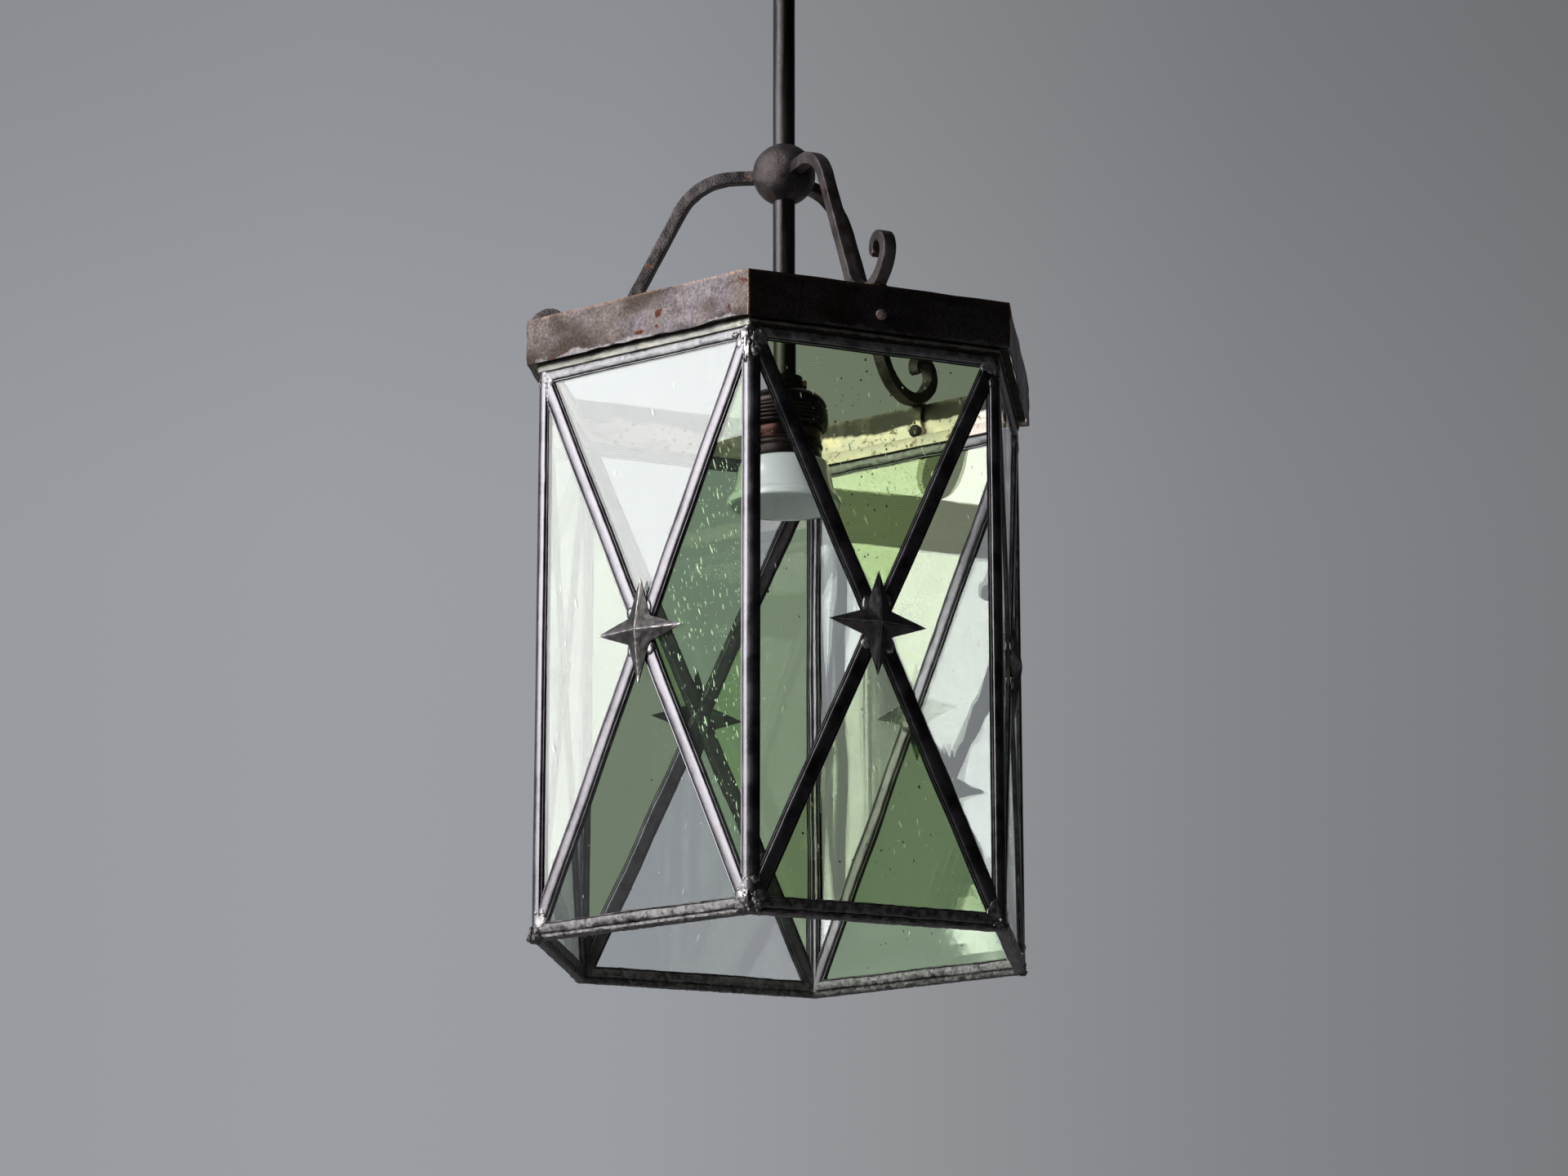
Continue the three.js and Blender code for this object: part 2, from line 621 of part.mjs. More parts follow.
function rivet() {
  const tailEnd = bandInnerFace - TANG_T - 2 * GAP;
  const headStart = bandR * apothem + GAP;
  const shank = [[RIVET_R, tailEnd], [RIVET_R, headStart]];
  const { across, up } = RIVET_HEAD_SHOULDER;
  const head = [[RIVET_HEAD_R, headStart], [RIVET_HEAD_R * across, headStart + RIVET_HEAD_H * up],
    [0, headStart + RIVET_HEAD_H]];
  const tail = [[0, tailEnd - RIVET_TAIL_H], [RIVET_TAIL_R, tailEnd - RIVET_TAIL_H], [RIVET_TAIL_R, tailEnd]];
  const points = [...tail, ...shank, ...head].map(([r, z]) => new THREE.Vector2(r, z));
  return new THREE.LatheGeometry(points, ROUND_TINY).rotateX(Math.PI).translate(0, 0, rivetZ);
}

// Lampholder cap: a collar on the tube, a dome, and rings turned round its side
function holderCap() {
  const ribs = Array.from({ length: CAP_RIB_COUNT }, (_, i) => {
    const z = capRibTop - i * CAP_RIB_PITCH;
    const r = capR - CAP_RIB_BULGE * (i - (CAP_RIB_COUNT - 1) / 2) ** 2;
    const [first, last] = CAP_RIB_FLAT.map((share) => z - CAP_RIB_PITCH * share);
    return [[r, first], [r, last], [r - CAP_RIB_DEPTH, z - CAP_RIB_PITCH]];
  }).flat();
  const domeFootR = collarR + CAP_DOME_FOOT;
  const dome = Array.from({ length: CAP_DOME_STEPS + 1 }, (_, i) => {
    const turn = (CAP_DOME_TURN * i) / CAP_DOME_STEPS;
    return [domeFootR + (capR - CAP_DOME_SHOULDER - domeFootR) * Math.sin(turn),
      capRibTop + CAP_DOME_H * Math.cos(turn)];
  });
  const liningR = shellR + GAP;
  const ceiling = capTop - CAP_WALL - GAP;
  const lining = [[liningR, capFoot], [liningR, capRibTop - OVERRUN],
    [collarR + CAP_WALL, ceiling], [stemSlipR, ceiling]];
  const collar = [[stemSlipR, collarTop], [collarR, collarTop], [collarR, capTop]];
  const profile = [...collar, ...dome, ...ribs, ...lining];
  const screwHole = rod(HOLDER_SCREW_R + GAP, 0, collarR + OVERRUN, ROUND_TINY).rotateX(Math.PI / 2);
  return cutBy(turned(profile), screwHole.rotateZ(FACE_STEP).translate(0, 0, holderScrewZ()));
}

function holderScrewZ() {
  return collarTop - COLLAR_H / 2;
}

function holderScrew() {
  const headStart = collarR + GAP;
  const shank = rod(HOLDER_SCREW_R, stemSlipR, headStart + OVERRUN, ROUND_TINY);
  const head = rod(HOLDER_SCREW_HEAD_R, headStart, headStart + HOLDER_SCREW_HEAD_L, ROUND_TINY);
  return joined(head, shank).rotateX(Math.PI / 2).rotateZ(FACE_STEP).translate(0, 0, holderScrewZ());
}

// Outer shell that screws up into the cap, with a copper band, a ring and a neck for the shade ring
function holderShell() {
  const tongue = shellTop + SHELL_TONGUE_H;
  const tongueR = shellR - GAP / 2;
  const ringR = shellR + SHELL_RING_PROUD;
  const [ringTop, ringFoot] = [shellRingTop - SHELL_RING_BEVEL, shellLowerTop + SHELL_RING_BEVEL];
  const neckTop = shadeRingTop + GAP;
  return turned([[shellBoreR, tongue], [tongueR, tongue], [tongueR, shellTop], [shellR, shellTop],
    [shellR, shellRingTop], [ringR, ringTop], [ringR, ringFoot], [shellR, shellLowerTop], [shellR, neckTop],
    [shellNeckR, neckTop], [shellNeckR, shellFoot], [shellBoreR, shellFoot]]);
}

// Flared porcelain ring that screws on to the shell's neck. Its profile is given in shares of the way from
// the shoulder out to the mouth, and of the ring's height.
const ringProfile = {
  outside: [[0, 0.07], [0.22, 0.28], [0.4, 0.52], [0.68, 0.77], [1, 0.975], [0.94, 1]],
  inside: [[0.94, 0.99], [0.62, 0.77], [0.34, 0.55]],
};

function shadeRing() {
  const bore = shellNeckR + GAP;
  const shoulderR = shellR + SHADE_RING_SHOULDER_PROUD;
  const flareR = SHADE_RING_MOUTH_PROUD - SHADE_RING_SHOULDER_PROUD;
  const at = ([flare, drop], wall) => [shoulderR + flareR * flare - wall, shadeRingTop - drop * SHADE_RING_H];
  const outside = ringProfile.outside.map((shares) => at(shares, 0));
  const inside = ringProfile.inside.map((shares) => at(shares, SHADE_RING_WALL));
  const seat = [
    [bore + SHELL_NECK_INSET, shellFoot - 2 * GAP],
    [bore, shellFoot - GAP],
    [bore, shadeRingTop],
  ];
  return turned([[shellR + SHADE_RING_LIP, shadeRingTop], ...outside, ...inside, ...seat], ROUND_FINE);
}

// Porcelain body with the thread shell and the contact
function porcelainInsert() {
  return turned([[CONTACT_R + GAP, insertBase + INSERT_BASE_T], [insertR, insertBase + INSERT_BASE_T],
    [insertR, insertFoot], [socketR, insertFoot], [socketR, insertBase], [CONTACT_R + GAP, insertBase]]);
}

function threadShell() {
  const wave = (shift) => Array.from({ length: 2 * THREAD_TURNS + 1 }, (_, i) =>
    [THREAD_R - shift - (i % 2 ? THREAD_DEPTH : 0), threadFoot + (i * THREAD_PITCH) / 2]);
  return turned([...wave(0), ...wave(THREAD_WALL).reverse()]);
}

function centreContact() {
  const headTop = insertBase - CONTACT_TRAVEL;
  const headFoot = headTop - CONTACT_HEAD_T;
  const top = insertBase + INSERT_BASE_T;
  return turned([[0, top], [CONTACT_R, top], [CONTACT_R, headTop], [CONTACT_HEAD_R, headTop],
    [CONTACT_HEAD_R, headFoot], [0, headFoot]], ROUND_SMALL);
}

// The whole lantern
place('ceiling_plate', ceilingPlate(), steel);
place('ceiling_hook', ceilingHook(), steel);
place('hanging_link', hangingLink(), steel);
place('stem_eye', stemEye(), forgedIron);
place('stem_tube', stemTube(), forgedIron);
place('ball', ball(), forgedIron);
place('canopy', canopy(), agedBand);
place('canopy_screw', canopyScrew(), brightBrass);
place('top_band', topBand(), agedBand);
place('top_rim', topRim(), palePlating);
place('bottom_rim', bottomRim(), lead);

for (let i = 0; i < ARM_COUNT; i += 1) {
  const group = faceGroup(armFace(i));
  place(`arm_${i + 1}`, arm(), forgedIron, group);
  place(`foot_rivet_${i + 1}`, rivet(), copper, group);
}

const paneGlass = [
  { top: greenGlass, right: clearGlass, bottom: oliveGlass, left: clearGlass },
  { top: clearGlass, right: paleGlass, bottom: paleGlass, left: clearGlass },
  { top: greenGlass, right: paleGlass, bottom: paleGlass, left: clearGlass },
  { top: clearGlass, right: greenGlass, bottom: clearGlass, left: greenGlass },
  { top: paleGlass, right: greenGlass, bottom: paleGlass, left: greenGlass },
  { top: clearGlass, right: greenGlass, bottom: clearGlass, left: paleGlass },
];
for (let i = 0; i < FACE_COUNT; i += 1) {
  const group = faceGroup(i);
  place(`panel_frame_${i + 1}`, panelFrame(), lead, group);
  place(`star_${i + 1}`, star(), pewter, group);
  for (const [side, light] of Object.entries(lights)) {
    place(`pane_${i + 1}_${side}`, pane(light), paneGlass[i][side], group);
  }
}

place('holder_cap', holderCap(), darkBrass);
place('holder_screw', holderScrew(), brightBrass);
place('holder_shell', holderShell(), copper);
place('shade_ring', shadeRing(), porcelain);
place('porcelain_insert', porcelainInsert(), porcelain);
place('thread_shell', threadShell(), brightBrass);
place('centre_contact', centreContact(), brightBrass);

export default lantern;
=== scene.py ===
"""Hanging lantern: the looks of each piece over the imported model. Metres, +Z up, face 1 looks along -Y."""
import json
import math

import bmesh
import bpy
import numpy as np
from mathutils import Matrix, Vector, noise


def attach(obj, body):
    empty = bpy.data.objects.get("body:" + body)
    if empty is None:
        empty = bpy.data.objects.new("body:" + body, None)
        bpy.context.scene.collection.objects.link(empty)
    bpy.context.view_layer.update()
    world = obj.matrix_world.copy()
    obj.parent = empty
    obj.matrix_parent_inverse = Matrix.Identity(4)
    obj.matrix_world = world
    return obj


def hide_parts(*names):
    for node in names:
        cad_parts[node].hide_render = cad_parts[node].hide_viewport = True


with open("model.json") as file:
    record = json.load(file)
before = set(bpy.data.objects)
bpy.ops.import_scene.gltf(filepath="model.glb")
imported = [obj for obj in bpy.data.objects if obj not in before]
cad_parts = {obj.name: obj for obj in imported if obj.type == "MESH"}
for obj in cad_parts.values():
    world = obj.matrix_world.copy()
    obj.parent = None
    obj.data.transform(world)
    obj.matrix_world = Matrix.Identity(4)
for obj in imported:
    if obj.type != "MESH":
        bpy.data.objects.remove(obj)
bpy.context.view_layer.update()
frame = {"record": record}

MM = 0.001
FACES = 6
TURN = math.tau / FACES

# Sizes of the lantern, as in its solids
GAP = 0.3 * MM
BODY_R = 135.5 * MM
BODY_FACE = BODY_R * math.cos(TURN / 2)
BAND_FACE = 142.3 * MM * math.cos(TURN / 2)
BAND_WALL = 1.6 * MM
BAND_TOP, BAND_FOOT = -296.75 * MM, -320.55 * MM
LEDGE_TOP, BEAD_TOP, BEAD_FOOT = -317.25 * MM, -318.75 * MM, -323.65 * MM
PANEL_TOP, PANEL_FOOT = -323.95 * MM, -613.15 * MM
PANEL_H = PANEL_TOP - PANEL_FOOT
PANEL_MIDDLE = (PANEL_TOP + PANEL_FOOT) / 2
BOTTOM = -616.45 * MM
CAME_DEPTH = 5.5 * MM
EDGE_W, CROSS_W = 6 * MM, 8.5 * MM
GLASS_T = 2.4 * MM
STAR_R, STAR_WAIST_R, STAR_H, STAR_RIM_H = 26.5 * MM, 9.4 * MM, 5 * MM, 0.9 * MM
STEM_R, STEM_BORE = 5.9 * MM, 4.3 * MM
STEM_TOP, STEM_FOOT = -61.45 * MM, -321.55 * MM
BALL_Z, BALL_R = -198.65 * MM, 16.7 * MM
ARM_W, ARM_T, ARM_TIP_T, TANG_T = 7 * MM, 6.4 * MM, 4.6 * MM, 2.4 * MM
RIVET_Z = -312.15 * MM
LINK_WIRE_R, HOOK_WIRE_R = 1.95 * MM, 2.2 * MM
CUP_SCREW_Z, COLLAR_SCREW_Z = -74.5 * MM, -314.9 * MM


def wander(seed, size, waves):
    """A smooth random line: a function of a share from 0 to 1 that strays by about size."""
    rng = np.random.default_rng(seed)
    parts = [(rng.uniform(0.4, 1) * size / waves ** 0.5, rng.uniform(0.6, 1.4) * k * math.pi,
              rng.uniform(0, math.tau)) for k in range(1, waves + 1)]
    return lambda share: sum(a * math.sin(w * share + p) for a, w, p in parts)


def spread(value, count):
    """A list as it is, or one value as often as it is needed."""
    return list(value) if hasattr(value, "__len__") else [value] * count


class Shape:
    """Corners, faces, a finish for each face and a crest value for each corner, gathered for one piece."""

    def __init__(self):
        self.points, self.faces, self.finish, self.crest, self.extra = [], [], [], [], {}

    def add(self, points, faces, finish=0, crest=1.0):
        start = len(self.points)
        self.points += [Vector(p) for p in points]
        self.crest += spread(crest, len(points))
        self.faces += [[start + i for i in face] for face in faces]
        self.finish += spread(finish, len(faces))
        return range(start, len(self.points))

    def move(self, matrix, which=None):
        for i in range(len(self.points)) if which is None else which:
            self.points[i] = matrix @ self.points[i]

    def carry(self, label, value):
        """Gives each corner a number under a label: one value, or a function of the corner."""
        self.extra[label] = [value(p) if callable(value) else value for p in self.points]

    def piece(self, name, body, materials, slot, node, sharp=40, turn=0.0):
        """Makes the piece, turned about the stem's axis, and says its body and its solid; slot is not used."""
        mesh = bpy.data.meshes.new(name)
        about = Matrix.Rotation(turn, 4, "Z")
        mesh.from_pydata([about @ p for p in self.points], [], self.faces)
        for material in materials:
            mesh.materials.append(material)
        mesh.polygons.foreach_set("material_index", self.finish)
        mesh.polygons.foreach_set("use_smooth", [True] * len(mesh.polygons))
        for label, values in {"crest": self.crest, **self.extra}.items():
            mesh.attributes.new(label, "FLOAT", "POINT").data.foreach_set("value", values)
        work = bmesh.new()
        work.from_mesh(mesh)
        bmesh.ops.recalc_face_normals(work, faces=work.faces)
        work.to_mesh(mesh)
        work.free()
        mesh.set_sharp_from_angle(angle=math.radians(sharp))
        made = in_scene(name, mesh)
        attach(made, body)
        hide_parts(node)


def in_scene(name, data):
    made = bpy.data.objects.new(name, data)
    bpy.context.scene.collection.objects.link(made)
    return made


def swept(shape, stations, finish=0, closed=False):
    """A bar through stations, each a list of (point, crest) pairs round its section."""
    rows, columns = len(stations), len(stations[0])
    count, faces = rows * columns, []
    for i in range(rows if closed else rows - 1):
        for j in range(columns):
            a, b = i * columns + j, i * columns + (j + 1) % columns
            faces.append((a, b, (b + columns) % count, (a + columns) % count))
    finish = spread(finish, columns) * (len(faces) // columns)
    if not closed:
        faces += [tuple(range(columns))[::-1], tuple(range(count - columns, count))]
        finish += finish[:1] * 2
    points = [point for station in stations for point, _ in station]
    return shape.add(points, faces, finish, [crest for station in stations for _, crest in station])


def turned(shape, profile, sides=72, uneven=None):
    """A closed outline in mm turned round the stem's axis. Its rows are (radius, height, crest, finish),
    with crest 1 and finish 0 where a row leaves them out. uneven gives a change of radius, in metres."""
    rows = [(row[0] * MM, row[1] * MM, *row[2:], *(1.0, 0)[len(row) - 2:]) for row in profile]
    area = sum(r * after[1] - after[0] * z for (r, z, _, _), after in zip(rows, rows[1:] + rows[:1]))
    if area < 0:
        rows = rows[::-1]
    stations = []
    for k in range(sides):
        angle = math.tau * k / sides
        station = []
        for r, z, crest, _ in rows:
            out = r + (uneven(angle, z) if uneven and r > 0 else 0)
            station.append(((out * math.cos(angle), out * math.sin(angle), z), crest))
        stations.append(station)
    return swept(shape, stations, [row[3] for row in rows], closed=True)


def blob(shape, middle, size, seed, rough=0.18, sides=14, rings=9, finish=1, crest=1.0):
    """A lump of solder: an uneven ball squeezed to size."""
    points = []
    for i in range(rings):
        tilt = math.pi * i / (rings - 1)
        for j in range(sides if 0 < i < rings - 1 else 1):
            turn = math.tau * j / sides
            away = Vector((math.sin(tilt) * math.cos(turn), math.sin(tilt) * math.sin(turn), math.cos(tilt)))
            swell = 1 + rough * noise.noise(away * 1.7 + Vector((seed * 3.1, seed, 0)))
            swell += 0.4 * rough * noise.noise(away * 4.3 + Vector((seed, 0, seed * 2.7)))
            points.append(Vector(middle) + Vector([away[k] * size[k] * swell for k in range(3)]))
    faces = [(0, 1 + j, 1 + (j + 1) % sides) for j in range(sides)]
    for i in range(rings - 3):
        for j in range(sides):
            a, b = 1 + i * sides + j, 1 + i * sides + (j + 1) % sides
            faces.append((a, a + sides, b + sides, b))
    last = len(points) - 1
    foot = 1 + (rings - 3) * sides
    faces += [(last, foot + (j + 1) % sides, foot + j) for j in range(sides)]
    return shape.add(points, faces, finish, crest)


# Short ways to write shader nodes
def linear(hexed):
    """A colour written as in a paint chart, as the shader wants it."""
    values = [int(hexed[i:i + 2], 16) / 255 for i in (0, 2, 4)]
    return [v / 12.92 if v <= 0.04045 else ((v + 0.055) / 1.055) ** 2.4 for v in values] + [1.0]


def give(tree, socket, value):
    """Links a socket to another, or sets it; a colour may be written in hex."""
    if isinstance(value, bpy.types.NodeSocket):
        tree.links.new(value, socket)
    else:
        socket.default_value = linear(value) if isinstance(value, str) else value


def put(tree, node, **named):
    """Gives a node's inputs by name."""
    for key, value in named.items():
        give(tree, node.inputs[key.replace("_", " ")], value)
    return node


def add(tree, kind, *values, **named):
    """A node with its first inputs given in order and others by name; a name with _ first is a property."""
    node = tree.nodes.new(kind)
    for key in [key for key in named if key.startswith("_")]:
        setattr(node, key[1:], named.pop(key))
    for socket, value in zip(node.inputs, values):
        give(tree, socket, value)
    return put(tree, node, **named)


def place(tree, kind="Object"):
    """Where on a piece a texture is looked up."""
    return add(tree, "ShaderNodeTexCoord").outputs[kind]


def carried(tree, label):
    """The number that each corner of a piece carries under this label."""
    return add(tree, "ShaderNodeAttribute", _attribute_name=label).outputs["Fac"]


def maths(tree, operation, *values, clamp=False):
    return add(tree, "ShaderNodeMath", *values, _operation=operation, _use_clamp=clamp).outputs[0]


def vectors(tree, operation, *values, **named):
    number = operation in ("LENGTH", "DOT_PRODUCT")
    return add(tree, "ShaderNodeVectorMath", *values, _operation=operation, **named).outputs[1 if number else 0]


def blend(tree, share, first, second, mode="MIX"):
    """A colour between two colours, or their product in the mode MULTIPLY."""
    node = add(tree, "ShaderNodeMix", share, _data_type="RGBA", _blend_type=mode)
    give(tree, node.inputs[6], first)          # 6 and 7 are the colours, 0 to 5 the number and vector inputs
    give(tree, node.inputs[7], second)
    return node.outputs[2]


def clouds(tree, at, scale, detail, roughness=0.5, distortion=0.0):
    return add(tree, "ShaderNodeTexNoise", Vector=at, Scale=scale, Detail=detail, Roughness=roughness,
               Distortion=distortion).outputs[0]


def ranged(tree, value, low=0.0, high=1.0, start=0.0, end=1.0, soft=False):
    """Takes values from low to high on to start to end, with soft ends where asked."""
    return add(tree, "ShaderNodeMapRange", value, low, high, start, end,
               _interpolation_type="SMOOTHSTEP" if soft else "LINEAR").outputs[0]


def bump(tree, height, strength, distance, **named):
    return add(tree, "ShaderNodeBump", Height=height, Strength=strength, Distance=distance, **named).outputs[0]


# Node groups that the finishes share
def group(name, inputs, outputs):
    """An empty group: its inputs by label with a number or colour each, and its outputs by label."""
    tree = bpy.data.node_groups.new(name, "ShaderNodeTree")
    for label, value in inputs.items():
        kind = "NodeSocketFloat" if isinstance(value, float) else "NodeSocketColor"
        socket = tree.interface.new_socket(label, in_out="INPUT", socket_type=kind)
        socket.default_value = value
    for label in outputs:
        kind = "NodeSocketColor" if label == "Color" else "NodeSocketFloat"
        tree.interface.new_socket(label, in_out="OUTPUT", socket_type=kind)
    return tree, tree.nodes.new("NodeGroupInput").outputs, tree.nodes.new("NodeGroupOutput")


def mottled_group():
    """Two colours in clouds, with spots of a third."""
    tree, given, out = group("mottled metal", {
        "Ground": (0.1, 0.1, 0.1, 1), "Cloud": (0.2, 0.2, 0.2, 1), "Spot": (0.3, 0.2, 0.1, 1),
        "Cloud Scale": 40.0, "Cloud Share": 0.5, "Spot Share": 0.2, "Stretch": 1.0},
        ("Color", "Cloud Mask", "Spot Mask"))
    stretch = add(tree, "ShaderNodeCombineXYZ", 1.0, 1.0, given["Stretch"]).outputs[0]
    at = vectors(tree, "MULTIPLY", place(tree), stretch)
    low = maths(tree, "SUBTRACT", 0.86, given["Cloud Share"])
    cloud = clouds(tree, at, given["Cloud Scale"], 7.0, 0.62)
    cloud = ranged(tree, cloud, low, maths(tree, "ADD", low, 0.24), soft=True)
    low = maths(tree, "SUBTRACT", 0.78, given["Spot Share"])
    spot = clouds(tree, at, maths(tree, "MULTIPLY", given["Cloud Scale"], 2.7), 5.0, 0.7, 0.6)
    spot = ranged(tree, spot, low, maths(tree, "ADD", low, 0.09), soft=True)
    both = blend(tree, cloud, given["Ground"], given["Cloud"])
    put(tree, out, Color=blend(tree, spot, both, given["Spot"]), Cloud_Mask=cloud, Spot_Mask=spot)
    return tree


def worn_group():
    """Edges rubbed bright and hollows dirty, from the crest value that each corner of a piece carries.
    Where a piece takes crest off the faces away from the lamp, the dirt is painted shade; where it raises the
    crest at the band's bends, the rub is partly a painted highlight.
    """
    tree, given, out = group("wear and dirt", {
        "Color": (0.2, 0.2, 0.2, 1), "Rubbed": (0.5, 0.5, 0.5, 1), "Dirt": (0.02, 0.02, 0.02, 1),
        "Rub": 0.5, "Scale": 90.0}, ("Color", "Rub Mask", "Dirt Mask"))
    patchy = maths(tree, "MULTIPLY_ADD", clouds(tree, place(tree), given["Scale"], 6.0, 0.65), 0.9, -0.45)
    height = maths(tree, "ADD", carried(tree, "crest"), patchy)
    # Rubbed bright where crest is high; at the band's bends this is partly a painted highlight
    rub = maths(tree, "MULTIPLY", ranged(tree, height, 1.15, 1.75), given["Rub"])
    # Dirty where crest is low; on the bead's faces away from the lamp this is painted shade
    dirt = ranged(tree, height, 0.55, 0.15)
    bright = blend(tree, rub, given["Color"], given["Rubbed"])
    put(tree, out, Color=blend(tree, dirt, bright, given["Dirt"]), Rub_Mask=rub, Dirt_Mask=dirt)
    return tree


def beaten_group():
    """Height of hammer marks over a fine cast grain."""
    tree, given, out = group("beaten surface", {
        "Marks Scale": 120.0, "Marks": 0.5, "Grain Scale": 900.0, "Grain": 0.3}, ("Height",))
    at = place(tree)
    marks = add(tree, "ShaderNodeTexVoronoi", _feature="SMOOTH_F1", Vector=at, Scale=given["Marks Scale"],
                Smoothness=0.7).outputs[0]
    deep = maths(tree, "MULTIPLY", marks, given["Marks"])
    fine = maths(tree, "MULTIPLY", clouds(tree, at, given["Grain Scale"], 5.0, 0.7), given["Grain"])
    put(tree, out, Height=maths(tree, "ADD", deep, fine))
    return tree


def ripple_group():
    """Height of the slow ripples and short drawn lines of rolled glass."""
    tree, given, out = group("rolled glass", {
        "Ripple Scale": 14.0, "Ripple": 1.0, "Line Scale": 60.0, "Line": 0.2}, ("Height",))
    at = place(tree)
    drawn = vectors(tree, "MULTIPLY", at, (1.0, 1.0, 0.12))
    slow = maths(tree, "MULTIPLY", clouds(tree, at, given["Ripple Scale"], 1.0), given["Ripple"])
    fine = maths(tree, "MULTIPLY", clouds(tree, drawn, given["Line Scale"], 2.0), given["Line"])
    put(tree, out, Height=maths(tree, "ADD", slow, fine))
    return tree


MOTTLED, WORN, BEATEN, RIPPLE = mottled_group(), worn_group(), beaten_group(), ripple_group()


def placed(tree, which, **values):
    """One of the groups in a tree, with its own values."""
    return add(tree, "ShaderNodeGroup", _node_tree=which, **values).outputs


def mottled(tree, tones, scale, spots, cloudy=0.5, stretch=1.0):
    """The mottled group with its ground, cloud and spot colours in one string."""
    ground, cloud, spot = tones.split()
    return placed(tree, MOTTLED, Ground=ground, Cloud=cloud, Spot=spot, Cloud_Scale=scale, Cloud_Share=cloudy,
                  Spot_Share=spots, Stretch=stretch)


def new_material(name):
    material = bpy.data.materials.new(name)
    material.use_nodes = True
    return material, material.node_tree, material.node_tree.nodes["Principled BSDF"]


def cover(tree, shader, colour, rough, metallic, marks, grain, depth):
    """Gives a shader its colour, gloss and metal share, and the height of its marks and grain."""
    height = placed(tree, BEATEN, Marks_Scale=marks[0], Marks=marks[1], Grain_Scale=grain[0], Grain=grain[1])
    put(tree, shader, Base_Color=colour, Roughness=rough, Metallic=metallic,
        Normal=bump(tree, height["Height"], depth, 2 * MM))


def metal(name, tones, rough, scale, spots=0.15, rub=0.5, marks=(120.0, 0.4), grain=(900.0, 0.25), depth=0.25,
          metallic=0.9, dirt="0a0908", cloudy=0.5, stretch=1.0):
    """An aged metal: mottled colour, rubbed edges, dirty hollows, and a beaten or cast surface.
    tones holds its ground, cloud, spot and rubbed colours."""
    material, tree, shader = new_material(name)
    mottle, rubbed = tones.rsplit(" ", 1)
    tone = mottled(tree, mottle, scale, spots, cloudy, stretch)
    worn = placed(tree, WORN, Color=tone["Color"], Rubbed=rubbed, Dirt=dirt, Rub=rub, Scale=scale * 2.2)
    gloss = ranged(tree, tone["Cloud Mask"], start=rough[0], end=rough[1])
    dull = maths(tree, "MULTIPLY_ADD", worn["Dirt Mask"], 0.3, gloss)
    shine = maths(tree, "MULTIPLY_ADD", worn["Rub Mask"], -0.2, dull, clamp=True)
    cover(tree, shader, worn["Color"], shine, metallic, marks, grain, depth)
    return material


def glass(name, tint, ripple=0.5, line=0.03, bend=1.52, haze=0.0, shade=None):
    """Rolled glass that lets the lamp's light through to what is behind it; shade tints that light."""
    material, tree, shader = new_material(name)
    pale = [min(1.0, v * 1.08 + 0.02) for v in linear(tint)[:3]] + [1.0]
    streaked = blend(tree, clouds(tree, place(tree), 9.0, 3.0, distortion=1.2), tint, pale)
    waves = bump(tree, placed(tree, RIPPLE, Ripple=ripple, Line=line)["Height"], 0.35, 1 * MM)
    put(tree, shader, Base_Color=streaked, Roughness=haze, IOR=bend, Transmission_Weight=1.0,
        Normal=bump(tree, carried(tree, "lean"), 1.0, 1.0, Normal=waves))
    clear = add(tree, "ShaderNodeBsdfTransparent", shade or streaked).outputs[0]
    shadow = add(tree, "ShaderNodeLightPath").outputs["Is Shadow Ray"]
    mix = add(tree, "ShaderNodeMixShader", shadow, shader.outputs[0], clear)
    put(tree, tree.nodes["Material Output"], Surface=mix.outputs[0])
    return material


IRON = metal("forged iron", "343031 625a5b 74503a 9a9290", (0.36, 0.54), 45.0, spots=0.19, rub=0.7,
             marks=(140.0, 0.9), grain=(800.0, 0.5), depth=0.6)
DRAWN_IRON = metal("drawn iron tube", "272526 4b484a 4a352b 8d8583", (0.27, 0.46), 150.0, spots=0.12,
                   marks=(160.0, 0.15), grain=(700.0, 0.3), depth=0.3, metallic=0.92, stretch=0.06)
LEAD = metal("lead came", "5f5c60 767377 3d393d aaa4a8", (0.28, 0.4), 70.0, spots=0.1, rub=0.6,
             marks=(90.0, 0.25), depth=0.2, metallic=1.0)
SOLDER = metal("solder", "7a787a 9c999b 45403c c9c5c5", (0.2, 0.42), 160.0, spots=0.16, rub=0.6,
               marks=(260.0, 0.9), depth=0.5)
DULL_SOLDER = metal("dull solder", "575555 757272 2c2826 a5a2a1", (0.32, 0.55), 220.0, spots=0.2,
                    marks=(300.0, 0.7), depth=0.4)
GREY_LEAD = metal("grey lead", "6b6a6c 8d8c8e 3c3a3a bebcbe", (0.32, 0.55), 160.0, spots=0.17,
                  marks=(260.0, 0.6), depth=0.35)
# Its dirt colour is also the painted shade on the bead's faces away from the lamp
BEAD = metal("pale bead", "89867d a3a19a 625c4e b9b7b1", (0.32, 0.5), 80.0, spots=0.16, marks=(200.0, 0.6),
             depth=0.45, metallic=0.85, dirt="312c23", cloudy=0.55)
PEWTER = metal("pewter star", "4b4847 5d5a5a 383130 c9c5c2", (0.36, 0.5), 110.0, spots=0.14, rub=1.0,
               marks=(300.0, 0.5), depth=0.45, metallic=0.85)
COPPER = metal("copper band", "3a2620 4e352c 1c1210 84604f", (0.24, 0.42), 80.0, depth=0.2, cloudy=0.45)
RIVET_HEAD = metal("rivet head", "6a5653 8d7876 45322c b8a29c", (0.42, 0.56), 320.0, spots=0.2,
                   marks=(500.0, 0.6), depth=0.5, metallic=0.5)
